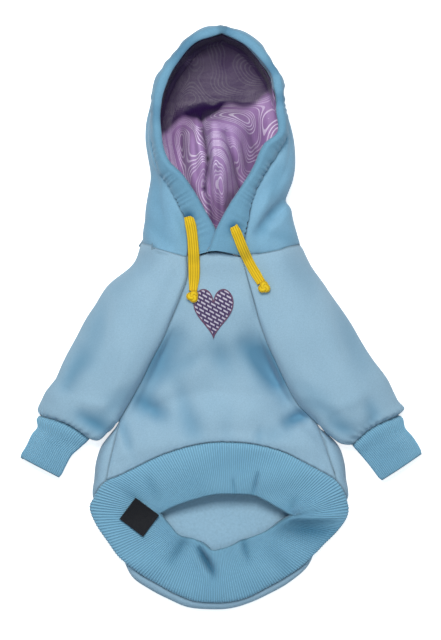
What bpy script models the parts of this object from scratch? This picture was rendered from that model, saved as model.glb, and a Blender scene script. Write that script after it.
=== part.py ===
"""A dog's hooded sweatshirt laid on its back, belly side up, hood open upwards.

Metres, +Z up. The hood's top points to +Y, the hem to -Y. Every cloth piece is a wall cut along
shared seams: the outer faces come from the section tables below, and sew() gives them thickness.
"""

import math

import bmesh
import bpy
import numpy as np
from mathutils import Matrix, Vector
from mathutils.bvhtree import BVHTree
from mathutils.kdtree import KDTree

for old in list(bpy.data.objects):
    bpy.data.objects.remove(old, do_unlink=True)

# Sizes of the garment as it lies
BODY_WIDTH = 0.2176  # across the hem's corners
BODY_LENGTH = 0.307  # neck seam to the rolled lower edge
BODY_LOFT = 0.050  # height that the body's tables are shares of
BELLY_PUFF = 0.005  # how far the middle of the belly rises over its seams
HOOD_WIDTH = 0.124
HOOD_HEIGHT = 0.187  # neck seam to crown
HOOD_LOFT = 0.070
SLEEVE_WIDTH = 0.0655
SLEEVE_FREE = 0.0315  # underarm to cuff seam, along the inner edge
SLEEVE_LOFT = 0.046
CUFF_WIDTH = 0.039
CUFF_LENGTH = 0.038
CUFF_LOFT = 0.017
CUFF_BOW = 0.0034  # how far the cuff seam arches over the top of the sleeve
BAND_ROLL = 0.006  # how high the hem band swells between its seam and its free edge
LINING_HUMP = 0.034  # how high the lining bunches up behind the neck
# Cloth
FLEECE = 0.0025
RIB = 0.003
SATIN = 0.001
RIM = 0.0062  # the rolled hood edge
CASING_END = 0.0038  # the same roll where it is sewn to the hood
SEAM_GAP = 0.0003
SEAM_SHARE = 0.75  # of the gap, that each wall stops short of a seam, which leans its ends together
SEAM_FLAT = 0.006  # how far beside its raglan seam the back panel lies flat
LINING_GAP = 0.0017  # the lining hangs a little free of the wall
# Trims
CORD_WIDTH = 0.0096
CORD_THICK = 0.0022
KNOT_LENGTH = 0.0085
LABEL_LENGTH = 0.0250
LABEL_WIDTH = 0.0228
LABEL_THICK = 0.0010
MOTIF_WIDTH = 0.0340
MOTIF_HEIGHT = 0.0430
MOTIF_THICK = 0.0008

LEFT, RIGHT = -1, 1
UNDERARM = 0.8  # share of the sleeve's length at which it leaves the body
LIFT_FROM = 0.67  # share of the sleeve's length from which its back seam rises off the floor
EDGE_SWELL = 0.55  # how far a sleeve has swollen just beside its front edge
LEAN_ROUNDS = 3


def columns(names, *rows):
    """A table of rows as named columns."""
    return dict(zip(names.split(), np.array(rows, float).T, strict=True))


# Front raglan seam from the neck to the underarm: shares of half the body width, the body length
# and the body loft, measured from the middle of the neck seam
RAGLAN = {
    LEFT: columns(
        "across down up",
        (-0.258, 0.022, 0.91), (-0.253, 0.080, 0.87), (-0.305, 0.136, 0.82), (-0.371, 0.194, 0.75),
        (-0.441, 0.253, 0.65), (-0.523, 0.307, 0.55), (-0.602, 0.363, 0.46), (-0.684, 0.416, 0.37),
        (-0.793, 0.481, 0.28),
    ),
    RIGHT: columns(
        "across down up",
        (0.172, 0.025, 0.94), (0.216, 0.086, 0.89), (0.264, 0.147, 0.84), (0.309, 0.208, 0.77),
        (0.366, 0.266, 0.68), (0.441, 0.324, 0.58), (0.500, 0.368, 0.50), (0.594, 0.427, 0.39),
        (0.766, 0.489, 0.28),
    ),
}
# Side seam from the underarm to the hem, and beside it the outermost fold of the body's side
SIDE = {
    LEFT: columns(
        "across down up fold_across fold_down fold_up",
        (-0.793, 0.481, 0.28, -0.803, 0.490, 0.12), (-0.812, 0.508, 0.33, -0.868, 0.518, 0.16),
        (-0.834, 0.542, 0.38, -0.925, 0.545, 0.18), (-0.862, 0.585, 0.42, -0.966, 0.585, 0.20),
        (-0.891, 0.640, 0.41, -0.986, 0.645, 0.20),
    ),
    RIGHT: columns(
        "across down up fold_across fold_down fold_up",
        (0.766, 0.489, 0.28, 0.780, 0.498, 0.12), (0.794, 0.513, 0.33, 0.862, 0.520, 0.16),
        (0.828, 0.546, 0.38, 0.930, 0.548, 0.18), (0.866, 0.590, 0.42, 0.970, 0.588, 0.20),
        (0.910, 0.639, 0.41, 0.987, 0.640, 0.20),
    ),
}
NECK_FRONT = columns(
    "across down up",
    (-0.258, 0.022, 0.91), (-0.148, 0.018, 0.93), (-0.059, 0.010, 0.95), (0.031, 0.013, 0.96),
    (0.172, 0.025, 0.94),
)
# The ribbed band, left to right along the belly: hem seam, outward roll there, and free edge
HEM_FRONT = columns(
    "across down up roll edge_across edge_down edge_up",
    (-0.891, 0.640, 0.41, 0, -0.426, 0.728, 0.31), (-0.789, 0.626, 0.44, 0, -0.391, 0.721, 0.33),
    (-0.645, 0.601, 0.48, 0, -0.328, 0.711, 0.37), (-0.500, 0.576, 0.50, 0, -0.250, 0.701, 0.40),
    (-0.355, 0.557, 0.53, 0, -0.172, 0.693, 0.43), (-0.211, 0.543, 0.56, 0, -0.102, 0.686, 0.45),
    (-0.066, 0.535, 0.58, 0, -0.016, 0.681, 0.46), (0.078, 0.534, 0.58, 0, 0.078, 0.680, 0.47),
    (0.222, 0.537, 0.58, 0, 0.180, 0.681, 0.47), (0.367, 0.547, 0.56, 0, 0.266, 0.684, 0.46),
    (0.511, 0.563, 0.54, 0, 0.352, 0.698, 0.44), (0.656, 0.588, 0.50, 0, 0.430, 0.714, 0.40),
    (0.800, 0.615, 0.45, 0, 0.492, 0.727, 0.36), (0.910, 0.639, 0.41, 0, 0.531, 0.734, 0.34),
)
# The same band along the back, right to left, and the fold that the back panel makes outside it
HEM_BACK = columns(
    "across down up roll edge_across edge_down edge_up fold_across fold_down fold_up",
    (0.965, 0.665, 0.33, 0.012, 0.551, 0.737, 0.33, 1.002, 0.668, 0.17),
    (0.988, 0.690, 0.16, 0.027, 0.559, 0.739, 0.33, 1.000, 0.694, 0.07),
    (0.975, 0.719, 0.024, 0.065, 0.555, 0.740, 0.32, 0.952, 0.717, 0),
    (0.942, 0.747, 0.020, 0.080, 0.535, 0.744, 0.31, 0.922, 0.742, 0),
    (0.866, 0.778, 0.020, 0.088, 0.492, 0.753, 0.29, 0.848, 0.772, 0),
    (0.781, 0.813, 0.024, 0.070, 0.438, 0.765, 0.27, 0.764, 0.807, 0),
    (0.730, 0.843, 0.07, 0.045, 0.375, 0.778, 0.26, 0.737, 0.845, 0.03),
    (0.656, 0.878, 0.16, 0.010, 0.305, 0.789, 0.25, 0.674, 0.886, 0.08),
    (0.511, 0.914, 0.19, 0, 0.227, 0.799, 0.24, 0.535, 0.927, 0.10),
    (0.367, 0.942, 0.20, 0, 0.156, 0.809, 0.24, 0.391, 0.956, 0.10),
    (0.222, 0.968, 0.21, 0, 0.086, 0.820, 0.24, 0.238, 0.981, 0.11),
    (0.078, 0.981, 0.22, 0, 0.020, 0.828, 0.24, 0.086, 0.997, 0.11),
    (-0.066, 0.983, 0.22, 0, -0.062, 0.833, 0.25, -0.070, 1.000, 0.11),
    (-0.211, 0.978, 0.22, 0, -0.125, 0.819, 0.24, -0.250, 0.994, 0.11),
    (-0.355, 0.958, 0.21, 0, -0.195, 0.803, 0.23, -0.400, 0.972, 0.11),
    (-0.500, 0.930, 0.20, 0, -0.266, 0.798, 0.22, -0.552, 0.944, 0.10),
    (-0.645, 0.898, 0.17, 0.012, -0.324, 0.790, 0.22, -0.688, 0.909, 0.09),
    (-0.753, 0.853, 0.07, 0.065, -0.371, 0.771, 0.23, -0.761, 0.855, 0.03),
    (-0.814, 0.804, 0.024, 0.105, -0.410, 0.755, 0.25, -0.797, 0.801, 0),
    (-0.897, 0.758, 0.020, 0.118, -0.441, 0.743, 0.26, -0.877, 0.753, 0),
    (-0.961, 0.719, 0.024, 0.100, -0.459, 0.737, 0.28, -0.938, 0.717, 0),
    (-0.980, 0.690, 0.16, 0.045, -0.459, 0.735, 0.29, -0.991, 0.693, 0.07),
    (-0.953, 0.662, 0.32, 0.012, -0.451, 0.732, 0.30, -0.997, 0.670, 0.17),
)
# Sleeve sections from neck to cuff: the angle in degrees from the inner to the outer edge, and
# shares of the sleeve's width and loft
SLEEVE = {
    LEFT: columns(
        "along angle wide high",
        (0, 16.3, 0.623, 1), (0.12, 18.4, 0.750, 0.99), (0.25, 23.3, 0.930, 0.97),
        (0.40, 27.6, 1.004, 0.95), (0.55, 30.8, 1.025, 0.91), (0.70, 32.7, 1.024, 0.86),
        (0.80, 34.8, 0.994, 0.80), (0.90, 31.7, 0.962, 0.70), (0.96, 27.7, 0.879, 0.59),
        (1, 25.7, 0.735, 0.46),
    ),
    RIGHT: columns(
        "along angle wide high",
        (0, 12.4, 0.784, 1), (0.12, 16.8, 0.846, 0.99), (0.25, 21.4, 0.968, 0.97),
        (0.40, 25.2, 1.085, 0.95), (0.55, 27.7, 1.130, 0.91), (0.70, 30.2, 1.140, 0.86),
        (0.80, 32.2, 1.082, 0.80), (0.90, 31.3, 0.985, 0.70), (0.96, 30.6, 0.925, 0.59),
        (1, 32.6, 0.748, 0.46),
    ),
}
# Inner edge of the sleeve below the underarm, as shares of its free length and loft
SLEEVE_INNER = {
    LEFT: columns(
        "across down up", (0, 0, 0.304), (-0.250, 0.260, 0.290), (-0.540, 0.500, 0.265),
        (-0.770, 0.473, 0.228),
    ),
    RIGHT: columns(
        "across down up", (0, 0, 0.304), (0.270, 0.262, 0.290), (0.595, 0.505, 0.265),
        (0.905, 0.560, 0.228),
    ),
}
# Around a sleeve, from the front seam over the outer edge to the back seam: shares of its width
# and height. The first shape is open to the body, the second is the loose tube
AROUND = columns(
    "turn across high loose_across loose_high",
    (0, 0, 1, 0, 1), (0.06, 0.06, 0.92, 0.03, 0.66), (0.15, 0.20, 0.98, 0.16, 0.92),
    (0.28, 0.42, 1.00, 0.42, 1.00), (0.42, 0.70, 0.86, 0.70, 0.86), (0.52, 0.90, 0.57, 0.90, 0.56),
    (0.58, 0.985, 0.36, 0.985, 0.36), (0.62, 1.00, 0.24, 1.00, 0.25), (0.66, 0.985, 0.11, 0.985, 0.11),
    (0.71, 0.93, 0.02, 0.93, 0.02), (0.76, 0.84, 0, 0.84, 0), (0.88, 0.45, 0, 0.40, 0),
    (0.95, 0.18, 0, 0.08, 0.05), (1, 0, 0, 0, 1),
)
# Cuff sections from the seam to the edge: shares of the cuff's length, then its angle and shares
# of its width and loft
CUFF = {
    LEFT: columns(
        "along across down angle wide high",
        (0, 0, 0, 25.7, 1.23, 1.21), (0.12, -0.10, 0.067, 25.6, 1.110, 1.12),
        (0.30, -0.267, 0.211, 27.9, 1.010, 1.03), (0.50, -0.411, 0.344, 27.7, 0.983, 0.97),
        (0.75, -0.550, 0.590, 27.1, 0.965, 0.88), (1, -0.680, 0.860, 27.4, 1.000, 0.82),
    ),
    RIGHT: columns(
        "along across down angle wide high",
        (0, 0, 0, 32.6, 1.252, 1.21), (0.12, 0.089, 0.067, 32.3, 1.190, 1.12),
        (0.30, 0.211, 0.200, 30.9, 1.130, 1.03), (0.50, 0.344, 0.356, 30.5, 1.135, 0.97),
        (0.75, 0.500, 0.556, 32.3, 1.120, 0.88), (1, 0.670, 0.790, 33.4, 1.085, 0.82),
    ),
}
# Hood from the neck to the crown, as shares of half its width, its height and its loft: the seam
# of the drawstring casing, the outermost bulge, where it meets the floor, the middle of its back,
# and the rim's inner edge
HOOD = {
    LEFT: columns(
        "along across up high out_across out_up out_high floor_across floor_up back_up"
        " rim_across rim_up rim_high",
        (0, -0.438, -0.034, 0.636, -1.088, 0.011, 0.257, -0.945, 0.005, 0, 0.055, -0.025, 0.614),
        (0.05, -0.442, 0.025, 0.686, -1.051, 0.077, 0.286, -0.911, 0.066, 0.059, -0.048, 0.059, 0.65),
        (0.10, -0.470, 0.111, 0.714, -1.014, 0.164, 0.314, -0.870, 0.155, 0.145, -0.200, 0.159, 0.73),
        (0.16, -0.596, 0.209, 0.750, -0.990, 0.255, 0.343, -0.842, 0.250, 0.236, -0.356, 0.255, 0.81),
        (0.22, -0.705, 0.279, 0.771, -0.970, 0.345, 0.364, -0.822, 0.341, 0.332, -0.507, 0.330, 0.89),
        (0.28, -0.856, 0.364, 0.779, -0.982, 0.427, 0.379, -0.829, 0.423, 0.414, -0.699, 0.400, 0.94),
        (0.33, -0.911, 0.485, 0.764, -0.996, 0.505, 0.386, -0.842, 0.500, 0.491, -0.781, 0.491, 0.98),
        (0.38, -0.900, 0.620, 0.750, -0.968, 0.600, 0.393, -0.815, 0.591, 0.577, -0.797, 0.623, 0.99),
        (0.42, -0.838, 0.729, 0.736, -0.855, 0.730, 0.393, -0.699, 0.705, 0.673, -0.747, 0.718, 0.99),
        (0.455, -0.666, 0.841, 0.714, -0.679, 0.845, 0.379, -0.534, 0.805, 0.750, -0.582, 0.823, 0.96),
        (0.48, -0.356, 0.951, 0.693, -0.364, 0.955, 0.371, -0.267, 0.905, 0.814, -0.301, 0.925, 0.93),
        (0.50, 0.027, 0.990, 0.679, 0.027, 0.994, 0.364, 0.027, 0.941, 0.850, 0.027, 0.961, 0.92),
    ),
    RIGHT: columns(
        "along across up high out_across out_up out_high floor_across floor_up back_up"
        " rim_across rim_up rim_high",
        (0, 0.301, -0.041, 0.664, 1.118, 0.014, 0.257, 0.973, 0.005, 0, -0.116, -0.011, 0.714),
        (0.05, 0.335, 0.025, 0.736, 1.041, 0.068, 0.286, 0.904, 0.055, 0.059, -0.055, 0.064, 0.75),
        (0.10, 0.395, 0.123, 0.764, 0.959, 0.155, 0.314, 0.815, 0.145, 0.145, 0.104, 0.173, 0.79),
        (0.16, 0.459, 0.226, 0.779, 0.908, 0.225, 0.343, 0.774, 0.220, 0.236, 0.267, 0.264, 0.84),
        (0.22, 0.607, 0.329, 0.786, 1.003, 0.309, 0.364, 0.863, 0.307, 0.332, 0.438, 0.359, 0.90),
        (0.28, 0.784, 0.420, 0.779, 1.027, 0.391, 0.379, 0.877, 0.391, 0.414, 0.589, 0.464, 0.95),
        (0.33, 0.893, 0.502, 0.764, 0.986, 0.505, 0.386, 0.842, 0.498, 0.491, 0.775, 0.523, 0.99),
        (0.38, 0.840, 0.620, 0.750, 0.900, 0.620, 0.393, 0.767, 0.605, 0.577, 0.760, 0.618, 1.00),
        (0.42, 0.800, 0.716, 0.736, 0.808, 0.716, 0.393, 0.685, 0.691, 0.673, 0.737, 0.709, 0.99),
        (0.455, 0.684, 0.811, 0.714, 0.692, 0.814, 0.379, 0.582, 0.773, 0.750, 0.644, 0.800, 0.96),
        (0.48, 0.384, 0.936, 0.693, 0.392, 0.940, 0.371, 0.308, 0.886, 0.814, 0.349, 0.911, 0.93),
        (0.50, 0.027, 0.990, 0.679, 0.027, 0.994, 0.364, 0.027, 0.941, 0.850, 0.027, 0.961, 0.92),
    ),
}
# Where each end of the casing stops on the front neck seam, and how far it lies over the seam
CASING_STOP = {LEFT: (0.52, -0.07), RIGHT: (0.40, 0.07)}
# How high the lining bunches along the middle of the hood's back, from the neck to the crown
HUMP = columns(
    "up high wide",
    (0, 0.06, 0.55), (0.064, 0.35, 0.42), (0.155, 0.70, 0.38), (0.268, 0.91, 0.48),
    (0.382, 1, 0.58), (0.495, 1, 0.66), (0.568, 0.85, 0.66), (0.605, 0.50, 0.66),
    (0.65, 0.09, 0.66), (0.714, 0, 0.66), (1, 0, 0.66),
)
# Folds: from and to in the shares of their piece, width as a share of its half width, and rise
# as a share of its loft
BODY_FOLDS = columns(
    "from_across from_down to_across to_down wide rise",
    (-0.36, 0.25, -0.60, 0.41, 0.10, -0.13), (0.26, 0.27, 0.50, 0.40, 0.11, -0.15),
    (-0.55, 0.45, -0.46, 0.46, 0.07, -0.09), (-0.30, 0.42, -0.18, 0.52, 0.08, -0.06),
    (0.53, 0.48, 0.66, 0.46, 0.05, -0.11), (-0.74, 0.53, -0.66, 0.59, 0.06, 0.05),
    (-0.05, 0.29, 0.10, 0.30, 0.10, -0.04), (0.34, 0.52, 0.48, 0.51, 0.07, -0.05),
)
BAND_FOLDS = columns(
    "from_across from_down to_across to_down wide rise",
    (-0.15, 0.843, -0.05, 0.895, 0.045, -0.09), (0.555, 0.744, 0.90, 0.742, 0.035, 0.08),
    (0.60, 0.775, 0.86, 0.780, 0.06, -0.05), (0.29, 0.63, 0.26, 0.68, 0.02, -0.04),
    (0.16, 0.81, 0.21, 0.86, 0.03, -0.05), (-0.27, 0.80, -0.38, 0.86, 0.04, 0.04),
)
LINING_FOLDS = columns(
    "from_across from_up to_across to_up wide rise",
    (-0.26, 0.60, -0.16, 0.40, 0.06, -0.09), (-0.16, 0.40, -0.08, 0.12, 0.05, -0.08),
    (0.08, 0.52, 0.27, 0.27, 0.06, -0.06), (-0.52, 0.53, -0.51, 0.34, 0.06, -0.05),
    (-0.40, 0.50, -0.38, 0.30, 0.06, 0.04), (-0.42, 0.84, -0.15, 0.87, 0.06, 0.03),
)
HOOD_FOLDS = columns(
    "from_across from_up to_across to_up wide rise",
    (0.95, 0.21, 0.52, 0.07, 0.09, -0.06), (0.92, 0.30, 0.45, 0.14, 0.10, 0.05),
)
CORD_ROUTE = {
    # (x, y) from the eyelet in the casing to the knot
    LEFT: ((-0.0264, 0.0262), (-0.0242, 0.0165), (-0.0226, 0.0020), (-0.0220, -0.0115),
           (-0.0219, -0.0250), (-0.0227, -0.0362)),
    RIGHT: ((0.0110, 0.0190), (0.0141, 0.0120), (0.0196, -0.0015), (0.0260, -0.0145),
            (0.0318, -0.0243), (0.0348, -0.0292)),
}


def through(stations, values, at):
    """The smooth line through the values at these stations, read at the places asked for."""
    stations, values = np.asarray(stations, float), np.asarray(values, float)
    at = np.clip(np.atleast_1d(np.asarray(at, float)), stations[0], stations[-1])
    wide = (-1,) + (1,) * (values.ndim - 1)
    step = np.diff(stations).reshape(wide)
    slope = np.diff(values, axis=0) / step
    middle = (slope[:-1] * step[1:] + slope[1:] * step[:-1]) / (step[1:] + step[:-1])
    slopes = np.concatenate((slope[:1], middle, slope[-1:]))
    k = np.clip(np.searchsorted(stations, at, side="right") - 1, 0, len(stations) - 2)
    h = step[k]
    t = ((at - stations[k]) / h.reshape(-1)).reshape(wide)
    return (
        (2 * t**3 - 3 * t**2 + 1) * values[k] + (t**3 - 2 * t**2 + t) * h * slopes[k]
        + (3 * t**2 - 2 * t**3) * values[k + 1] + (t**3 - t**2) * h * slopes[k + 1]
    )


def evenly(points, share):
    """A point at each share of the length of the line through these points."""
    points = np.asarray(points, float)
    length = np.concatenate(([0], np.linalg.norm(np.diff(points, axis=0), axis=1).cumsum()))
    return through(length / length[-1], points, share)


def smooth(x):
    x = np.clip(x, 0, 1)
    return x * x * (3 - 2 * x)


def unit(v):
    return v / np.maximum(np.linalg.norm(v, axis=-1, keepdims=True), 1e-12)


def on_body(across, down, up):
    return np.stack((across * BODY_WIDTH / 2, -down * BODY_LENGTH, up * BODY_LOFT), -1)


def on_hood(across, up, high):
    return np.stack((across * HOOD_WIDTH / 2, up * HOOD_HEIGHT, high * HOOD_LOFT), -1)


def fold_rise(points, folds, half, length, loft, ahead):
    """How far these folds lift each point: each is a soft ridge or valley along a line."""
    rise = np.zeros(points.shape[:-1])
    names = list(folds)
    for row in zip(*folds.values(), strict=True):
        row = dict(zip(names, row, strict=True))
        lo = np.array((row[names[0]] * half, row[names[1]] * length * ahead))
        hi = np.array((row[names[2]] * half, row[names[3]] * length * ahead))
        along = hi - lo
        share = np.clip(((points[..., :2] - lo) @ along) / (along @ along), 0, 1)
        away = np.linalg.norm(points[..., :2] - lo - share[..., None] * along, axis=-1)
        ends = 0.35 + 0.65 * np.sin(math.pi * np.clip(0.15 + 0.7 * share, 0, 1))
        rise += row["rise"] * loft * ends * np.exp(-((away / (row["wide"] * half)) ** 2))
    return rise


def raglan(side, share):
    return evenly(on_body(**RAGLAN[side]), share)


def side_seam(side, share):
    t = SIDE[side]
    return evenly(on_body(t["across"], t["down"], t["up"]), share)


def back_lift(along):
    """How far the back seam has risen from the floor to the front seam, which it meets steeply."""
    share = np.clip((np.asarray(along) - LIFT_FROM) / (UNDERARM - LIFT_FROM), 0, 1)
    return 1 - np.sqrt(1 - share * share)


def tube_section(inner, angle, wide, high, loose, side, turn, bow):
    """One ring around a sleeve or cuff, in the upright plane from its inner to its outer edge."""
    t = AROUND
    edge = inner[2] / high
    across = t["across"] * (1 - loose) + t["loose_across"] * loose
    rise = t["high"] * (1 - loose) + t["loose_high"] * loose
    rise[0], rise[-1] = edge, edge * loose
    rise[1] = edge + (1 - edge) * EDGE_SWELL
    shape = through(t["turn"], np.column_stack((across, rise)), turn)
    shape[:, 1] = np.maximum(shape[:, 1], 0)
    out = np.array((side * math.cos(angle), math.sin(angle)))
    down = np.array((side * math.sin(angle), -math.cos(angle)))
    plan = inner[:2] + shape[:, :1] * wide * out
    arch = bow * np.sin(math.pi * np.clip(shape[:, 0], 0, 1)) * shape[:, 1]
    return np.column_stack((plan - arch[:, None] * down, shape[:, 1] * high))


def sleeve_row(side, along, turn):
    t = SLEEVE[side]
    angle, wide, high = (through(t["along"], t[n], along)[0] for n in ("angle", "wide", "high"))
    if along <= UNDERARM:
        inner = raglan(side, along / UNDERARM)[0]
    else:
        i = SLEEVE_INNER[side]
        free = np.stack((i["across"] * SLEEVE_FREE, -i["down"] * SLEEVE_FREE, i["up"] * 0), -1)
        inner = evenly(free, (along - UNDERARM) / (1 - UNDERARM))[0] + raglan(side, 1)[0]
        inner[2] = through(i["across"] * side, i["up"], abs(inner[0] - raglan(side, 1)[0, 0])
                           / SLEEVE_FREE)[0] * SLEEVE_LOFT
    loose = float(back_lift(along))
    bow = CUFF_BOW * float(smooth((along - 0.86) / 0.14))
    return tube_section(inner, math.radians(angle), wide * SLEEVE_WIDTH, high * SLEEVE_LOFT,
                        loose, side, turn, bow)


def cuff_row(side, along, turn):
    t = CUFF[side]
    across, down, angle, wide, high = (
        through(t["along"], t[n], along)[0] for n in ("across", "down", "angle", "wide", "high")
    )
    seam = sleeve_row(side, 1, turn)
    start = sleeve_row(side, 1, [0])[0]
    inner = start + np.array((across * CUFF_LENGTH, -down * CUFF_LENGTH, 0))
    inner[2] = 0.45 * high * CUFF_LOFT
    ring = tube_section(inner, math.radians(angle), wide * CUFF_WIDTH, high * CUFF_LOFT, 1, side,
                        turn, 0)
    hold = 1 - float(smooth(along / 0.3))
    return ring * (1 - hold) + (seam + (inner - start) * np.array((1, 1, 0))) * hold


def hem_ring(at, names):
    """The band's seam or free edge by row number: 0 to 13 along the front, then the back."""
    rows = np.column_stack([np.concatenate((HEM_FRONT[n], HEM_BACK[n])) for n in names])
    count = len(rows)
    around = np.concatenate((rows[-3:], rows, rows[:3]))
    return through(np.arange(-3, count + 3), around, at)


HEM_CORNER = len(HEM_FRONT["across"]) - 1
HEM_COUNT = HEM_CORNER + 1 + len(HEM_BACK["across"])


def hem_seam(at):
    return on_body(*hem_ring(at, ("across", "down", "up")).T)


def band_rows(at, widths):
    """Rings of the hem band, from its seam to its free edge."""
    seam = hem_seam(at)
    edge = on_body(*hem_ring(at, ("edge_across", "edge_down", "edge_up")).T)
    roll = hem_ring(at, ("roll",)) * BODY_WIDTH / 2
    out = unit((seam - edge)[:, :2])
    swell = np.clip(1.15 - seam[:, 2] / (0.6 * BODY_LOFT), 0.15, 1.1) * BAND_ROLL
    rings = []
    for w in widths:
        ring = seam + (edge - seam) * w
        ring[:, :2] += out * roll * (w / 0.1) * math.exp(1 - w / 0.1)
        ring[:, 2] += swell * math.sin(math.pi * math.sqrt(w))
        inside = smooth(min(w, 1 - w) / 0.25) + (smooth(w / 0.4) if w > 0.5 else 0)
        ring[:, 2] += fold_rise(ring, BAND_FOLDS, BODY_WIDTH / 2, BODY_LENGTH, BODY_LOFT, -1) * min(
            inside, 1
        )
        rings.append(ring)
    return np.array(rings)


def belly_grid(rows, across):
    """The belly between the neck, both raglan and side seams and the hem."""
    left, right = (np.concatenate([f for f in side]) for side in rows)
    n = len(left)
    length = np.linalg.norm(np.diff(left, axis=0), axis=1).cumsum()
    v = np.concatenate(([0], length)) / length[-1]
    top = evenly(on_body(**NECK_FRONT), across)
    bottom = hem_seam(np.asarray(across) * HEM_CORNER)
    grid = np.zeros((n, len(across), 3))
    for i in range(n):
        for j, u in enumerate(across):
            ends = (1 - v[i]) * ((1 - u) * left[0] + u * right[0])
            ends = ends + v[i] * ((1 - u) * left[-1] + u * right[-1])
            grid[i, j] = (
                (1 - v[i]) * top[j] + v[i] * bottom[j] + (1 - u) * left[i] + u * right[i] - ends
            )
    u = np.asarray(across)
    puff = np.sin(math.pi * v)[:, None] ** 0.8 * np.sin(math.pi * u)[None, :] ** 1.2
    away = smooth(np.minimum(np.minimum(u, 1 - u)[None, :] / 0.12, (1 - v)[:, None] / 0.1))
    rise = fold_rise(grid, BODY_FOLDS, BODY_WIDTH / 2, BODY_LENGTH, BODY_LOFT, -1)
    grid[..., 2] += BELLY_PUFF * puff + rise * away
    return grid


def spine_at(share):
    """Where on the back's middle line the cloth of each share of the way round the edge ends."""
    return -BODY_LENGTH * through((0, 0.2, 0.41, 0.55, 0.76, 1), (0, 0.18, 0.36, 0.5, 0.7, 0.82), share)


def back_rays(raglan_shares, side_shares, hem_stations):
    """Rays of the back panel from its edge, round its outermost fold, to the middle of the floor."""
    edge, fold = [], []
    for side in (LEFT, RIGHT):
        seam = raglan(side, raglan_shares)
        lift = back_lift(raglan_shares * UNDERARM)
        seam[:, 2] *= lift
        t = SIDE[side]
        folded = on_body(t["fold_across"], t["fold_down"], t["fold_up"])
        inward = np.column_stack((seam[:, 0], seam[:, 1] - spine_at(raglan_shares / 2.2)))
        beside = seam - unit(np.column_stack((inward, 0 * inward[:, 0]))) * SEAM_FLAT
        beside[:, 2] = 0
        beside += (folded[0] - beside[-1]) * lift[:, None] ** 3
        flank = side_seam(side, side_shares[1:])
        flank_fold = evenly(folded, side_shares[1:])
        edge.append(np.concatenate((seam, flank)))
        fold.append(np.concatenate((beside, flank_fold)))
    names = ("fold_across", "fold_down", "fold_up")
    corners = [[SIDE[side][n][-1] for n in names] for side in (RIGHT, LEFT)]
    table = np.array([corners[0], *zip(*(HEM_BACK[n] for n in names), strict=True), corners[1]])
    hem_fold = on_body(*through(np.arange(HEM_CORNER, HEM_COUNT + 1), table, hem_stations).T)
    inner = hem_stations[1:-1][::-1]
    edges = np.concatenate((edge[0], hem_seam(inner), edge[1][::-1]))
    folds = np.concatenate((fold[0], hem_fold[1:-1][::-1], fold[1][::-1]))
    n = len(edges)
    middle = np.minimum(np.arange(n), n - 1 - np.arange(n)) / ((n - 1) / 2)
    centre = np.column_stack((np.zeros(n), spine_at(middle), np.zeros(n)))
    flat = folds + unit(centre - folds) * (0.004 + 0.9 * folds[:, 2:])
    flat[:, 2] = 0
    under = (folds + flat) / 2
    under[:, 2] = 0.22 * folds[:, 2]
    rays = np.stack((edges, folds, under, flat, flat + (centre - flat) * 0.4, centre), 1)
    return rays


def neck_line(side, w):
    """The neck seam from the casing round the shoulder and under to the middle of the back."""
    w = np.asarray(w, float)
    turn = np.interp(w, (0, 0.42, 0.56, 0.82), (0, 0.62, 0.76, 1))
    line = sleeve_row(side, 0, turn)
    under = sleeve_row(side, 0, [1.0])[0]
    middle = np.zeros(3)
    share = np.clip((w - 0.82) / 0.18, 0, 1)[:, None]
    return line * (1 - share) + share * (under * (share < 1e-9) + (under + (middle - under) * share)
                                         * (share >= 1e-9))


def hood_grid(side, along, w):
    """The hood's outer face: rows from the neck to the crown, columns from casing to back."""
    t = HOOD[side]
    seam = through(t["along"], on_hood(t["across"], t["up"], t["high"]), along)
    out = through(t["along"], on_hood(t["out_across"], t["out_up"], t["out_high"]), along)
    floor = through(t["along"], on_hood(t["floor_across"], t["floor_up"], 0 * t["up"]), along)
    crown = HOOD[side]["across"][-1]
    back_across = crown * smooth(np.asarray(t["along"]) / 0.2)
    back = through(t["along"], on_hood(back_across, t["back_up"], 0 * t["up"]), along)
    shoulder = seam + (out - seam) * np.array((0.55, 0.55, 0.22))
    under = out + (floor - out) * np.array((0.35, 0.35, 0.78))
    controls = np.stack((seam, shoulder, out, under, floor, (floor + back) / 2, back))
    grid = through((0, 0.2, 0.42, 0.5, 0.58, 0.79, 1), controls, w).transpose(1, 0, 2)
    grid[..., 2] = np.maximum(grid[..., 2], 0)
    rise = fold_rise(grid, HOOD_FOLDS, HOOD_WIDTH / 2, HOOD_HEIGHT, HOOD_LOFT, 1)
    inside = smooth(np.asarray(w) / 0.15) * smooth((0.42 - np.asarray(w)) / 0.15)
    grid[..., 2] += rise * inside
    hold = (1 - smooth(np.asarray(along) / 0.07))[:, None, None]
    return grid * (1 - hold) + neck_line(side, w)[None] * hold


def hood_lean(side, along, w):
    """Outward normals of the hood at these rows and columns, from close neighbours on it."""
    step = 1e-3
    a = np.asarray(along)
    b = np.asarray(w)
    da = hood_grid(side, np.minimum(a + step, 0.5), b) - hood_grid(side, np.maximum(a - step, 0), b)
    db = hood_grid(side, a, np.minimum(b + step, 1)) - hood_grid(side, a, np.maximum(b - step, 0))
    return unit(np.cross(da, db)) * (-side)


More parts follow.
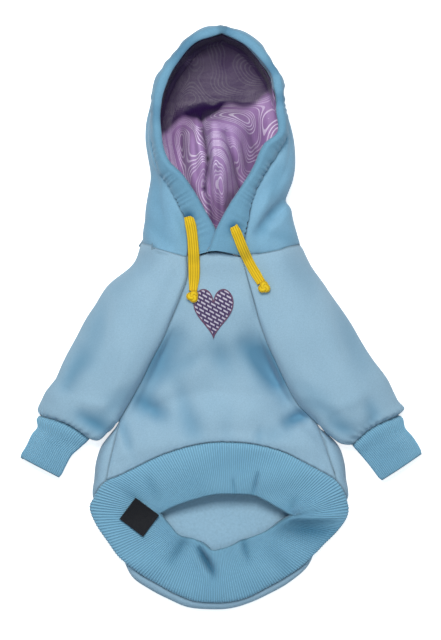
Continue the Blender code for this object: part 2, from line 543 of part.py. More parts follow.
def lining_grid(side, along, w):
    """The lining: just inside the hood's wall, bunched up behind the neck."""
    grid = hood_grid(side, along, w)
    grid = grid - hood_lean(side, along, w) * (FLEECE + LINING_GAP)
    grid[..., 2] = np.maximum(grid[..., 2], FLEECE + LINING_GAP)
    up = grid[..., 1] / HOOD_HEIGHT
    shape = through(HUMP["up"], np.stack((HUMP["high"], HUMP["wide"]), -1), up.reshape(-1))
    high, wide = shape[:, 0].reshape(up.shape), shape[:, 1].reshape(up.shape)
    middle = -0.08 + 0.10 * smooth((up - 0.2) / 0.5)
    off = (grid[..., 0] / (HOOD_WIDTH / 2) - middle) / wide
    bell = np.cos(np.clip(off, -1, 1) * math.pi / 2) ** 1.3
    on_floor = smooth((np.asarray(w) - 0.56) / 0.2)[None, :]
    rise = fold_rise(grid, LINING_FOLDS, HOOD_WIDTH / 2, HOOD_HEIGHT, HOOD_LOFT, 1)
    lift = np.maximum(high * bell * LINING_HUMP + rise * np.clip(high + 0.3, 0, 1), 0)
    grid[..., 2] += lift * on_floor
    return grid


CASING_SECTION = columns(
    "along out end_out",  # share of the casing's width, shares of the rim and of the seam end
    (0.04, 0.04, 0), (0.15, 0.30, 0), (0.40, 0.78, 0), (0.75, 1, 0), (0.97, 0.95, 0), (1.06, 0.50, 0),
    (1.0, 0.05, 0), (0.75, -0.02, 0), (0.40, -0.05, -0.45), (0.15, 0, -0.95), (0.04, 0, -1),
)


def casing_rings(side, along):
    """Sections of the padded drawstring casing, from the neck to the crown."""
    t = HOOD[side]
    rim = through(t["along"], on_hood(t["rim_across"], t["rim_up"], t["rim_high"]), along)
    share, over = CASING_STOP[side]
    stop = evenly(on_body(**NECK_FRONT), share)[0] + np.array((0, 0, over * BODY_LOFT))
    hold = (1 - smooth(np.asarray(along) / 0.05))[:, None]
    rim = rim * (1 - hold) + stop * hold
    seam = hood_grid(side, along, [0.0])[:, 0]
    normal = hood_lean(side, along, [0.0])[:, 0]
    width = rim - seam
    square = unit(normal - unit(width) * (normal * unit(width)).sum(-1, keepdims=True))
    s = CASING_SECTION
    rings = []
    for a, out, end in zip(s["along"], s["out"], s["end_out"], strict=True):
        tilt = unit(normal + (square - normal) * float(smooth(a / 0.5)))
        ring = seam + width * a + tilt * (out * RIM + end * CASING_END)
        ring[:, 1] = np.maximum(ring[:, 1], neck_y(ring[:, 0]) + 2 * SEAM_GAP)
        rings.append(ring)
    return np.array(rings).transpose(1, 0, 2)


def neck_y(x):
    """How far up the front neck seam lies at each x."""
    front = evenly(on_body(**NECK_FRONT), np.linspace(0, 1, 21))
    return np.interp(x, front[:, 0], front[:, 1])


garment = bpy.data.collections.new("dog_sweatshirt")
bpy.context.scene.collection.children.link(garment)
COLOURS = {
    "fleece": ((0.283, 0.458, 0.584), 0.85),
    "rib": ((0.178, 0.376, 0.503), 0.85),
    "satin": ((0.371, 0.262, 0.462), 0.35),
    "cord": ((0.723, 0.479, 0.017), 0.7),
    "label": ((0.008, 0.008, 0.011), 0.6),
    "print": ((0.089, 0.051, 0.119), 0.6),
}
MATERIALS = {}
for name, (colour, rough) in COLOURS.items():
    made = bpy.data.materials.new(name)
    made.use_nodes = True
    shader = made.node_tree.nodes["Principled BSDF"]
    shader.inputs["Base Color"].default_value = (*colour, 1)
    shader.inputs["Roughness"].default_value = rough
    shader.inputs["Metallic"].default_value = 0
    MATERIALS[name] = made


def add(name, mesh, material):
    thing = bpy.data.objects.new(name, mesh)
    garment.objects.link(thing)
    mesh.materials.append(MATERIALS[material])
    return thing


def sheet(grid, flip=False, ring=False):
    """An open sheet from a grid of points, closed on itself where points coincide."""
    bm = bmesh.new()
    rows, cols = grid.shape[:2]
    points = [[bm.verts.new(p) for p in row] for row in grid]
    for i in range(rows - 1 + ring):
        for j in range(cols - 1):
            k = (i + 1) % rows
            loop = [points[i][j], points[i][j + 1], points[k][j + 1], points[k][j]]
            bm.faces.new(loop[::-1] if flip else loop)
    bmesh.ops.remove_doubles(bm, verts=bm.verts, dist=1e-5)
    bmesh.ops.dissolve_degenerate(bm, edges=bm.edges, dist=1e-6)
    bm.normal_update()
    return bm


SPLIT = Vector((1, 0.37, 0.19))  # any fixed direction that no seam is square to


def sew(sheets, walls, leans):
    """Gives every sheet its wall. Along a seam both walls lean the same way and stop half a seam
    gap short of it, which a Solidify modifier on each sheet alone can't do: they would cross.
    leans holds (place, direction) where three sheets meet in a pit."""
    rims = [v for bm in sheets.values() for v in bm.verts if v.is_boundary]
    near = KDTree(len(rims))
    for i, v in enumerate(rims):
        near.insert(v.co, i)
    near.balance()
    made = {}
    for name, bm in sheets.items():
        lean = {}
        for v in bm.verts:
            shared = [rims[i].normal for _, i, _ in near.find_range(v.co, SEAM_GAP)] if v.is_boundary else []
            lean[v] = sum(shared, Vector()).normalized() if shared else v.normal.copy()
            for pit, way in leans:
                lean[v] = way if v.is_boundary and (v.co - pit).length < SEAM_GAP else lean[v]
            v.tag = len(shared) > 1
        for _ in range(LEAN_ROUNDS):  # away from the seams the wall's two faces turn together in tight folds
            eased = {
                v: (lean[v] + sum((lean[e.other_vert(v)] for e in v.link_edges), Vector())).normalized()
                for v in bm.verts if not v.tag
            }
            lean.update(eased)
        outer, inner = {}, {}
        for v in bm.verts:
            place = v.co.copy()
            if v.is_boundary:
                inward = sum((f.calc_center_median() for f in v.link_faces), Vector())
                inward = inward / len(v.link_faces) - v.co
                inward -= lean[v] * inward.dot(lean[v])
                place += inward.normalized() * SEAM_GAP * SEAM_SHARE
            outer[v], inner[v] = place, place - lean[v] * walls[name]
        closed = bmesh.new()
        tops = {v: closed.verts.new(p) for v, p in outer.items()}
        lows = {v: closed.verts.new(p) for v, p in inner.items()}
        for face in bm.faces:
            closed.faces.new([tops[v] for v in face.verts])
            closed.faces.new([lows[v] for v in reversed(face.verts)])
        for edge in bm.edges:
            if edge.is_boundary:
                a, b = edge.verts
                if edge.link_loops[0].vert != a:
                    a, b = b, a
                # Split the same way on both sides of a seam, so that the two wall ends match
                if a.co @ SPLIT < b.co @ SPLIT:
                    closed.faces.new((tops[b], tops[a], lows[a]))
                    closed.faces.new((tops[b], lows[a], lows[b]))
                else:
                    closed.faces.new((tops[a], lows[a], lows[b]))
                    closed.faces.new((tops[a], lows[b], tops[b]))
        mesh = bpy.data.meshes.new(name)
        closed.normal_update()
        closed.to_mesh(mesh)
        closed.free()
        mesh.shade_smooth()
        mesh.set_sharp_from_angle(angle=math.radians(60))
        made[name] = mesh
    return made


# Stations along the seams, shared by the pieces on both sides of each
raglan_shares = np.array((0, 0.12, 0.24, 0.36, 0.48, 0.6, 0.71, 0.81, 0.89, 0.95, 1))
side_shares = np.linspace(0, 1, 4)
belly_columns = np.linspace(0, 1, 13)
hem_back_stations = np.linspace(HEM_CORNER, HEM_COUNT, 21)
sleeve_rows = np.concatenate((raglan_shares * UNDERARM, (0.86, 0.92, 0.965, 1)))
turns = np.array((0, 0.07, 0.15, 0.24, 0.33, 0.42, 0.50, 0.56, 0.62, 0.68, 0.76, 0.87, 0.95, 1))
neck_columns = np.interp(turns, (0, 0.62, 0.76, 1), (0, 0.42, 0.56, 0.82))
hood_columns = np.concatenate((neck_columns, (0.91, 1)))
hood_rows = np.array((0, 0.03, 0.07, 0.11, 0.155, 0.2, 0.25, 0.3, 0.345, 0.385, 0.42, 0.445, 0.467,
                      0.485, 0.5))
lining_rows = np.concatenate(((0.015,), hood_rows[1:]))
lining_columns = np.sort(np.concatenate(((0.015, 0.69, 0.776, 0.865), hood_columns[1:])))
band_widths = np.array((0, 0.05, 0.13, 0.28, 0.5, 0.72, 0.9, 1))

sheets = {}
edges = [[raglan(side, raglan_shares), side_seam(side, side_shares[1:])] for side in (LEFT, RIGHT)]
sheets["belly_panel"] = sheet(belly_grid(edges, belly_columns), flip=True)
sheets["back_panel"] = sheet(back_rays(raglan_shares, side_shares, hem_back_stations))
for side, word in ((LEFT, "left"), (RIGHT, "right")):
    grid = np.array([sleeve_row(side, f, turns) for f in sleeve_rows])
    sheets["sleeve_" + word] = sheet(grid, flip=side == RIGHT)
    grid = np.array([cuff_row(side, r, turns) for r in (0, 0.12, 0.3, 0.5, 0.75, 1)])
    sheets["cuff_" + word] = sheet(grid, flip=side == RIGHT)
halves = [hood_grid(side, hood_rows, hood_columns) for side in (LEFT, RIGHT)]
sheets["hood"] = sheet(np.concatenate((halves[0], halves[1][-2::-1])), flip=True)
halves = [lining_grid(side, lining_rows, lining_columns) for side in (LEFT, RIGHT)]
sheets["hood_lining"] = sheet(np.concatenate((halves[0], halves[1][-2::-1])), flip=True)
band_stations = np.concatenate((belly_columns * HEM_CORNER, hem_back_stations[1:-1]))
band = band_rows(band_stations, band_widths).transpose(1, 0, 2)
sheets["hem_band"] = sheet(band, ring=True)

walls = {name: FLEECE for name in sheets}
walls.update(cuff_left=RIB, cuff_right=RIB, hem_band=RIB, hood_lining=SATIN)
cloth = {"cuff_left": "rib", "cuff_right": "rib", "hem_band": "rib", "hood_lining": "satin"}
pits = []
for side in (LEFT, RIGHT):
    pit = raglan(side, [1.0])[0]
    ways = unit(np.array((sleeve_row(side, 0.84, [0])[0], side_seam(side, [0.3])[0])) - pit)
    pits.append((Vector(pit), Vector(ways.sum(0)).normalized()))
for name, mesh in sew(sheets, walls, pits).items():
    add(name, mesh, cloth.get(name, "fleece"))

# Drawstring casing: a padded roll lofted through its sections, both ends capped
rings = [casing_rings(side, hood_rows) for side in (LEFT, RIGHT)]
rings = np.concatenate((rings[0], rings[1][-2::-1]))
bm = bmesh.new()
loops = [[bm.verts.new(p) for p in ring] for ring in rings]
for one, two in zip(loops, loops[1:]):
    for j in range(len(one)):
        k = (j + 1) % len(one)
        bm.faces.new((one[j], one[k], two[k], two[j]))
bm.faces.new(loops[0])
bm.faces.new(loops[-1][::-1])
bmesh.ops.recalc_face_normals(bm, faces=bm.faces)
mesh = bpy.data.meshes.new("hood_casing")
bm.to_mesh(mesh)
bm.free()
mesh.shade_smooth()
add("hood_casing", mesh, "fleece")


def tree_of(names):
    """One surface to lay trims on, made of these finished pieces."""
    verts, faces = [], []
    for name in names:
        mesh = garment.objects[name].data
        faces += [[len(verts) + i for i in p.vertices] for p in mesh.polygons]
        verts += [v.co.copy() for v in mesh.vertices]
    return BVHTree.FromPolygons(verts, faces)


def top_at(tree, x, y, otherwise=0.0):
    place = tree.ray_cast(Vector((x, y, 1)), Vector((0, 0, -1)))[0]
    return place.z if place is not None else otherwise


# Flat drawstring ends, each with a knot, lying over the casing and the chest
ground = tree_of(("belly_panel", "sleeve_left", "sleeve_right", "hood", "hood_casing"))
for side, word in ((LEFT, "left"), (RIGHT, "right")):
    route = evenly(np.array(CORD_ROUTE[side]), np.linspace(0, 1, 26))
    across = unit(np.gradient(route, axis=0))[:, ::-1] * np.array((1, -1))
    heights = np.array([
        max(top_at(ground, *(p + a * CORD_WIDTH * s)) for s in (-0.55, -0.3, 0, 0.3, 0.55))
        for p, a in zip(route, across, strict=True)
    ])
    eased = np.array([heights[max(i - 2, 0) : i + 3].max() for i in range(len(heights))])
    eased = np.convolve(np.pad(eased, 2, mode="edge"), np.ones(5) / 5, mode="valid")
    eased = np.maximum(eased, heights) + CORD_THICK / 2 + SEAM_GAP
    line = bpy.data.curves.new("drawstring_" + word, "CURVE")
    line.dimensions = "3D"
    line.twist_mode = "Z_UP"
    line.bevel_depth = CORD_THICK / 2
    line.extrude = (CORD_WIDTH - CORD_THICK) / 2
    line.bevel_resolution = 2
    line.use_fill_caps = True
    spline = line.splines.new("POLY")
    spline.points.add(len(route) - 1)
    for point, p, z in zip(spline.points, route, eased, strict=True):
        point.co = (*p, z, 1)
        point.tilt = math.pi / 2
    add("drawstring_" + word, line, "cord")
    ahead = unit(route[-1] - route[-3])
    middle = route[-1] + ahead * (KNOT_LENGTH / 2 + SEAM_GAP)
    reach = (-0.4, 0, 0.4)
    under = max(top_at(ground, *(middle + KNOT_LENGTH * np.array((a, b)))) for a in reach for b in reach)
    bm = bmesh.new()
    bmesh.ops.create_uvsphere(bm, u_segments=14, v_segments=8, radius=0.5)
    turned = Matrix.Rotation(math.atan2(ahead[1], ahead[0]), 4, "Z")
    size = Matrix.Diagonal((KNOT_LENGTH, CORD_WIDTH * 1.05, CORD_THICK * 2.4, 1))
    height = max(under + SEAM_GAP + CORD_THICK * 1.2, eased[-1])
    bmesh.ops.transform(bm, matrix=Matrix.Translation((*middle, height)) @ turned @ size, verts=bm.verts)
    mesh = bpy.data.meshes.new("knot_" + word)
    bm.to_mesh(mesh)
    bm.free()
    mesh.shade_smooth()
    add("knot_" + word, mesh, "cord")


def patch(name, grid, thick, material):
    """A thin patch from a grid of points on top of the cloth, thickened upwards."""
    bm = sheet(grid)
    mesh = bpy.data.meshes.new(name)
    bm.to_mesh(mesh)
    bm.free()
    thing = add(name, mesh, material)
    wall = thing.modifiers.new("thickness", "SOLIDIFY")
    wall.thickness = thick
    wall.offset = 1
    return thing


# Folded label, flat on the band beside the left end of its opening
band_tree = tree_of(("hem_band",))
corner = on_body(*hem_ring([0], ("edge_across", "edge_down", "edge_up")).T)[0]
middle = corner[:2] + np.array((-0.0222, -0.0046))
tilt = math.radians(-37)
ex, ey = np.array((math.cos(tilt), math.sin(tilt))), np.array((-math.sin(tilt), math.cos(tilt)))
shares = np.linspace(-0.5, 0.5, 7)
spots = np.array([middle + ex * a * LABEL_LENGTH + ey * b * LABEL_WIDTH for a in shares for b in shares])
found = np.array([top_at(band_tree, *p, otherwise=np.nan) for p in spots])
good = ~np.isnan(found)
ax, ay = (spots - middle).T
terms = np.column_stack((np.ones(len(spots)), ax, ay, ax * ax, ax * ay, ay * ay))
bend = np.linalg.lstsq(terms[good], found[good], rcond=None)[0]
lift = (found[good] - terms[good] @ bend).max() + SEAM_GAP
grid = np.dstack((spots.reshape(7, 7, 2), (terms @ bend + lift).reshape(7, 7)))
patch("hem_label", grid[:, ::-1], LABEL_THICK, "label")

# A plain heart on the chest, with a dashed surface
belly_tree = tree_of(("belly_panel",))
chest = np.array((-0.0055, -0.0560))
rows = np.linspace(0, 1, 9)
half = 0.5 * MOTIF_WIDTH * np.sin(math.pi * np.clip(rows, 0.02, 1) ** 0.62) ** 0.75
half[0], half[-1] = 0.30 * MOTIF_WIDTH, 0.02 * MOTIF_WIDTH
grid = np.zeros((9, 9, 3))
for i, row in enumerate(rows):
    for j, u in enumerate(np.linspace(-1, 1, 9)):
        notch = 0.16 * MOTIF_HEIGHT * (1 - abs(u)) * (1 - row) ** 2
        bump = 0.07 * MOTIF_HEIGHT * math.sin(math.pi * abs(u)) * (1 - row) ** 2
        x, y = chest + np.array((u * half[i], MOTIF_HEIGHT * (0.5 - row) - notch + bump))
        grid[i, j] = (x, y, top_at(belly_tree, x, y) + SEAM_GAP * 1.4)
patch("chest_motif", grid[:, ::-1], MOTIF_THICK, "print")

# The origin: the middle of the floor under the garment
bpy.context.view_layer.update()
graph = bpy.context.evaluated_depsgraph_get()
meshes = [thing.evaluated_get(graph).to_mesh() for thing in garment.objects]
corners = np.array([v.co for mesh in meshes for v in mesh.vertices])
middle = (corners.min(0) + corners.max(0)) / 2
shift = Matrix.Translation((-middle[0], -middle[1], -corners[:, 2].min()))
for thing in garment.objects:
    thing.data.transform(shift)
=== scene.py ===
"""A dog's hooded sweatshirt laid on its back, seen from straight above."""

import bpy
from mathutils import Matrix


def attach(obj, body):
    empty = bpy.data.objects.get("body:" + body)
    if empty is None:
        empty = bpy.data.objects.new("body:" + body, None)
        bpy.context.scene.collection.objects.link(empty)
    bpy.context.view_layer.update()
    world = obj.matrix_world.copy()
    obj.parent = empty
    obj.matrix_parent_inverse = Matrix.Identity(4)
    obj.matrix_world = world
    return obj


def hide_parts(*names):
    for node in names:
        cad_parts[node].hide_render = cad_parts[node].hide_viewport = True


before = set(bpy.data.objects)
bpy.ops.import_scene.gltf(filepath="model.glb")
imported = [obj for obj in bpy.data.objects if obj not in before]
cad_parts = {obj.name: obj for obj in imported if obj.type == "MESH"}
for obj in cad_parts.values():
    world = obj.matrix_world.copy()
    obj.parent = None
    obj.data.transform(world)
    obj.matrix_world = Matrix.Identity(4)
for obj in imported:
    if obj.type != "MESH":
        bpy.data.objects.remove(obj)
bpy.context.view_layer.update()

import math

import bmesh
import bpy
import numpy as np
from mathutils import Matrix, Vector
from mathutils.bvhtree import BVHTree
from mathutils.kdtree import KDTree

# The studio is a pale paper sweep. The camera hangs straight over the garment, which is lit softly
# from all round, with a broad light beyond the hood.
PIXEL = 0.00085  # metres on the floor for each pixel of a 441 by 640 picture
PICTURE_HIGH = 640
CAMERA_AT = (-0.0004, -0.0009, 4.0)
TRUE_HEIGHT = 0.012  # how far over the floor the picture has just this scale
SENSOR = 36
SKY, SKY_STRENGTH = (0.55, 0.80, 1, 1), 0.30
WARM = (1, 0.96, 0.92)
PAPER_GLOW = 0.7  # lifts the paper to white where the camera sees it
PAPER_SIZE, PAPER_UNDER = 6, 0.0004
SHEEN_ROUGHNESS, SPECULAR = 0.45, 0.25


def add_object(name, data):
    made = bpy.data.objects.new(name, data)
    bpy.context.scene.collection.objects.link(made)
    return made


camera = add_object("camera", bpy.data.cameras.new("camera"))
camera.location = CAMERA_AT
camera.data.sensor_width = SENSOR
camera.data.lens = SENSOR * (CAMERA_AT[2] - TRUE_HEIGHT) / (PICTURE_HIGH * PIXEL)
camera.data.clip_end = 20
bpy.context.scene.camera = camera

world = bpy.data.worlds.new("studio")
world.use_nodes = True
world.node_tree.nodes["Background"].inputs["Color"].default_value = SKY
world.node_tree.nodes["Background"].inputs["Strength"].default_value = SKY_STRENGTH
bpy.context.scene.world = world
bpy.context.scene.view_settings.view_transform = "Standard"
for name, place, size, watts in (
    ("key", (-0.12, 0.55, 1.45), 0.55, 18.0),
    ("fill", (0.25, -0.55, 1.7), 1.0, 4.0),
):
    light = add_object(name, bpy.data.lights.new(name, "AREA"))
    light.data.size = size
    light.data.energy = watts
    light.data.color = WARM
    light.location = place
    light.rotation_euler = (-Vector(place)).to_track_quat("-Z", "Y").to_euler()


def srgb(text):
    """The linear colour of a six-figure sRGB hex text."""
    part = [int(text[i : i + 2], 16) / 255 for i in (0, 2, 4)]
    return tuple(c / 12.92 if c <= 0.04045 else ((c + 0.055) / 1.055) ** 2.4 for c in part) + (1,)


def put(tree, kind, inputs=(), **settings):
    """Adds one node with these settings, and links or sets its inputs."""
    made = tree.nodes.new(kind)
    for key, value in settings.items():
        setattr(made, key, value)
    for key, value in dict(inputs).items():
        if isinstance(value, bpy.types.NodeSocket):
            tree.links.new(value, made.inputs[key])
        else:
            made.inputs[key].default_value = value
    return made


def maths(tree, operation, *values):
    return put(tree, "ShaderNodeMath", enumerate(values), operation=operation).outputs[0]


def sine(tree, along, pitch):
    """A wave that comes back every pitch."""
    return maths(tree, "SINE", maths(tree, "MULTIPLY", along, 2 * math.pi / pitch))


def ramp(tree, *values, style="LINEAR"):
    """Value, from, to, and the results at from and to."""
    return put(tree, "ShaderNodeMapRange", enumerate(values), interpolation_type=style).outputs[0]


def blend(tree, share, low, high):
    return put(tree, "ShaderNodeMix", {0: share, 6: low, 7: high}, data_type="RGBA").outputs[2]


def scaled(tree, vector, by):
    return put(tree, "ShaderNodeVectorMath", {0: vector, 3: by}, operation="SCALE").outputs[0]


def noise(tree, place, scale, detail, roughness=0.5, distortion=0.0):
    inputs = {"Vector": place, "Scale": scale, "Detail": detail, "Roughness": roughness,
              "Distortion": distortion}
    return put(tree, "ShaderNodeTexNoise", inputs).outputs["Fac"]


def attribute(tree, name):
    return put(tree, "ShaderNodeAttribute", attribute_name=name).outputs["Fac"]


def places(tree, kind="UV"):
    """The place in the whole piece, and x and y of its place of this kind."""
    made = put(tree, "ShaderNodeTexCoord").outputs
    x, y, _ = put(tree, "ShaderNodeSeparateXYZ", {0: made[kind]}).outputs
    return made["Object"], x, y


def new_material(name, rough, sheen=0.0):
    made = bpy.data.materials.new(name)
    made.use_nodes = True
    shader = made.node_tree.nodes["Principled BSDF"]
    shader.inputs["Roughness"].default_value = rough
    shader.inputs["Sheen Weight"].default_value = sheen
    shader.inputs["Sheen Roughness"].default_value = SHEEN_ROUGHNESS
    shader.inputs["Specular IOR Level"].default_value = SPECULAR
    return made, made.node_tree


def finish(made, colour, height, strength, distance):
    """The material with this colour, and a bump of this height."""
    tree = made.node_tree
    shader = tree.nodes["Principled BSDF"]
    tree.links.new(colour, shader.inputs["Base Color"])
    bump = put(tree, "ShaderNodeBump", {"Strength": strength, "Distance": distance, "Height": height})
    tree.links.new(bump.outputs[0], shader.inputs["Normal"])
    return made


def mesh_of(name, bm):
    mesh = bpy.data.meshes.new(name)
    bm.to_mesh(mesh)
    bm.free()
    return mesh


floor_paint, tree = new_material("studio_paper", 0.9)
shader = tree.nodes["Principled BSDF"]
shader.inputs["Base Color"].default_value = srgb("F7F7F7")
shader.inputs["Emission Color"].default_value = srgb("FFFFFF")
seen = put(tree, "ShaderNodeLightPath").outputs["Is Camera Ray"]
tree.links.new(maths(tree, "MULTIPLY", seen, PAPER_GLOW), shader.inputs["Emission Strength"])
bm = bmesh.new()
bmesh.ops.create_grid(bm, x_segments=2, y_segments=2, size=PAPER_SIZE)
floor = add_object("floor", mesh_of("floor", bm))
floor.data.materials.append(floor_paint)
floor.location.z = -PAPER_UNDER

# The belly side of the body is one panel of brushed sweatshirt fleece, about 2.5 mm thick. It is
# overlocked to both sleeves, the back panel, the hood and the ribbed band.
ORIGIN = Vector((-0.000825, 0.059742, 0.000168))  # from the middle of the neck seam to the frame's own
BODY_WIDTH = 0.2176  # across the hem's corners
BODY_LENGTH = 0.307  # neck seam to the rolled lower edge
BODY_LOFT = 0.050  # height that the body's tables are shares of
BELLY_PUFF = 0.005  # how far the middle of the belly rises over its seams
BELLY_GATHER = 0.0006  # height of the small gathers along the hem seam
FLEECE = 0.0025  # the cloth's thickness
SEAM_GAP = 0.0003
SEAM_SHARE = 0.6  # of the gap, that each wall stops short of a seam
SEAM_FLAT = 0.006  # how far beside its raglan seam the back panel lies flat
SEAM_DIP = 0.0009  # how deep the cloth sinks into its seams
SEAM_SOFT = 0.0024  # how wide the cloth sinks beside them
LEFT, RIGHT = -1, 1
UNDERARM = 0.8  # share of the sleeve's length at which it leaves the body
LIFT_FROM = 0.67  # share of the sleeve's length from which its back seam rises off the floor
EDGE_SWELL = 0.55  # how far a sleeve has swollen just beside its front edge
LEAN_ROUNDS = 3  # rounds that even out which way a wall leans beside a seam
ROUNDING = 14  # rounds that ease the cloth where the side seams begin


def columns(names, *rows):
    """A table of rows as named columns."""
    return dict(zip(names.split(), np.array(rows, float).T, strict=True))


# Front raglan seam from the neck to the underarm: shares of half the body width, the body length
# and the body loft, measured from the middle of the neck seam
RAGLAN = {
    LEFT: columns(
        "across down up",
        (-0.258, 0.022, 0.91), (-0.253, 0.080, 0.87), (-0.305, 0.136, 0.82), (-0.371, 0.194, 0.75),
        (-0.441, 0.253, 0.65), (-0.523, 0.307, 0.55), (-0.602, 0.363, 0.46), (-0.684, 0.416, 0.37),
        (-0.793, 0.481, 0.28),
    ),
    RIGHT: columns(
        "across down up",
        (0.172, 0.025, 0.94), (0.216, 0.086, 0.89), (0.264, 0.147, 0.84), (0.309, 0.208, 0.77),
        (0.366, 0.266, 0.68), (0.441, 0.324, 0.58), (0.500, 0.368, 0.50), (0.594, 0.427, 0.39),
        (0.766, 0.489, 0.28),
    ),
}

# Side seam from the underarm to the hem, and beside it the outermost fold of the body's side
SIDE = {
    LEFT: columns(
        "across down up fold_across fold_down fold_up",
        (-0.793, 0.481, 0.28, -0.803, 0.490, 0.12), (-0.812, 0.508, 0.33, -0.868, 0.518, 0.16),
        (-0.834, 0.542, 0.38, -0.925, 0.545, 0.18), (-0.862, 0.585, 0.42, -0.966, 0.585, 0.20),
        (-0.891, 0.640, 0.41, -0.986, 0.645, 0.20),
    ),
    RIGHT: columns(
        "across down up fold_across fold_down fold_up",
        (0.766, 0.489, 0.28, 0.780, 0.498, 0.12), (0.794, 0.513, 0.33, 0.862, 0.520, 0.16),
        (0.828, 0.546, 0.38, 0.930, 0.548, 0.18), (0.866, 0.590, 0.42, 0.970, 0.588, 0.20),
        (0.910, 0.639, 0.41, 0.987, 0.640, 0.20),
    ),
}

NECK_FRONT = columns(
    "across down up",
    (-0.258, 0.022, 0.91), (-0.148, 0.018, 0.93), (-0.059, 0.010, 0.95), (0.031, 0.013, 0.96),
    (0.172, 0.025, 0.94),
)

# The ribbed band, left to right along the belly: hem seam, outward roll there, and free edge
HEM_FRONT = columns(
    "across down up roll edge_across edge_down edge_up",
    (-0.891, 0.640, 0.41, 0, -0.426, 0.728, 0.31), (-0.789, 0.626, 0.44, 0, -0.391, 0.721, 0.33),
    (-0.645, 0.601, 0.48, 0, -0.328, 0.711, 0.37), (-0.500, 0.576, 0.50, 0, -0.250, 0.701, 0.40),
    (-0.355, 0.557, 0.53, 0, -0.172, 0.693, 0.43), (-0.211, 0.543, 0.56, 0, -0.102, 0.686, 0.45),
    (-0.066, 0.535, 0.58, 0, -0.016, 0.681, 0.46), (0.078, 0.534, 0.58, 0, 0.078, 0.680, 0.47),
    (0.222, 0.537, 0.58, 0, 0.180, 0.681, 0.47), (0.367, 0.547, 0.56, 0, 0.266, 0.684, 0.46),
    (0.511, 0.563, 0.54, 0, 0.352, 0.698, 0.44), (0.656, 0.588, 0.50, 0, 0.430, 0.714, 0.40),
    (0.800, 0.615, 0.45, 0, 0.492, 0.727, 0.36), (0.910, 0.639, 0.41, 0, 0.531, 0.734, 0.34),
)

# The same band along the back, right to left, and the fold that the back panel makes outside it
HEM_BACK = columns(
    "across down up roll edge_across edge_down edge_up fold_across fold_down fold_up",
    (0.965, 0.665, 0.33, 0.012, 0.551, 0.737, 0.33, 1.002, 0.668, 0.17),
    (0.988, 0.690, 0.16, 0.027, 0.559, 0.739, 0.33, 1.000, 0.694, 0.07),
    (0.975, 0.719, 0.024, 0.065, 0.555, 0.740, 0.32, 0.952, 0.717, 0),
    (0.942, 0.747, 0.020, 0.080, 0.535, 0.744, 0.31, 0.922, 0.742, 0),
    (0.866, 0.778, 0.020, 0.088, 0.492, 0.753, 0.29, 0.848, 0.772, 0),
    (0.781, 0.813, 0.024, 0.070, 0.438, 0.765, 0.27, 0.764, 0.807, 0),
    (0.730, 0.843, 0.07, 0.045, 0.375, 0.778, 0.26, 0.737, 0.845, 0.03),
    (0.656, 0.878, 0.16, 0.010, 0.305, 0.789, 0.25, 0.674, 0.886, 0.08),
    (0.511, 0.914, 0.19, 0, 0.227, 0.799, 0.24, 0.535, 0.927, 0.10),
    (0.367, 0.942, 0.20, 0, 0.156, 0.809, 0.24, 0.391, 0.956, 0.10),
    (0.222, 0.968, 0.21, 0, 0.086, 0.820, 0.24, 0.238, 0.981, 0.11),
    (0.078, 0.981, 0.22, 0, 0.020, 0.828, 0.24, 0.086, 0.997, 0.11),
    (-0.066, 0.983, 0.22, 0, -0.062, 0.833, 0.25, -0.070, 1.000, 0.11),
    (-0.211, 0.978, 0.22, 0, -0.125, 0.819, 0.24, -0.250, 0.994, 0.11),
    (-0.355, 0.958, 0.21, 0, -0.195, 0.803, 0.23, -0.400, 0.972, 0.11),
    (-0.500, 0.930, 0.20, 0, -0.266, 0.798, 0.22, -0.552, 0.944, 0.10),
    (-0.645, 0.898, 0.17, 0.012, -0.324, 0.790, 0.22, -0.688, 0.909, 0.09),
    (-0.753, 0.853, 0.07, 0.065, -0.371, 0.771, 0.23, -0.761, 0.855, 0.03),
    (-0.814, 0.804, 0.024, 0.105, -0.410, 0.755, 0.25, -0.797, 0.801, 0),
    (-0.897, 0.758, 0.020, 0.118, -0.441, 0.743, 0.26, -0.877, 0.753, 0),
    (-0.961, 0.719, 0.024, 0.100, -0.459, 0.737, 0.28, -0.938, 0.717, 0),
    (-0.980, 0.690, 0.16, 0.045, -0.459, 0.735, 0.29, -0.991, 0.693, 0.07),
    (-0.953, 0.662, 0.32, 0.012, -0.451, 0.732, 0.30, -0.997, 0.670, 0.17),
)

# Folds in shares of the body, as on the panel's own cut, then finer ones in millimetres
BODY_FOLDS = columns(
    "from_across from_down to_across to_down wide rise",
    (-0.36, 0.25, -0.60, 0.41, 0.10, -0.13), (0.26, 0.27, 0.50, 0.40, 0.11, -0.15),
    (-0.55, 0.45, -0.46, 0.46, 0.07, -0.09), (-0.30, 0.42, -0.18, 0.52, 0.08, -0.06),
    (0.53, 0.48, 0.66, 0.46, 0.05, -0.11), (-0.74, 0.53, -0.66, 0.59, 0.06, 0.05),
    (-0.05, 0.29, 0.10, 0.30, 0.10, -0.04), (0.34, 0.52, 0.48, 0.51, 0.07, -0.05),
)

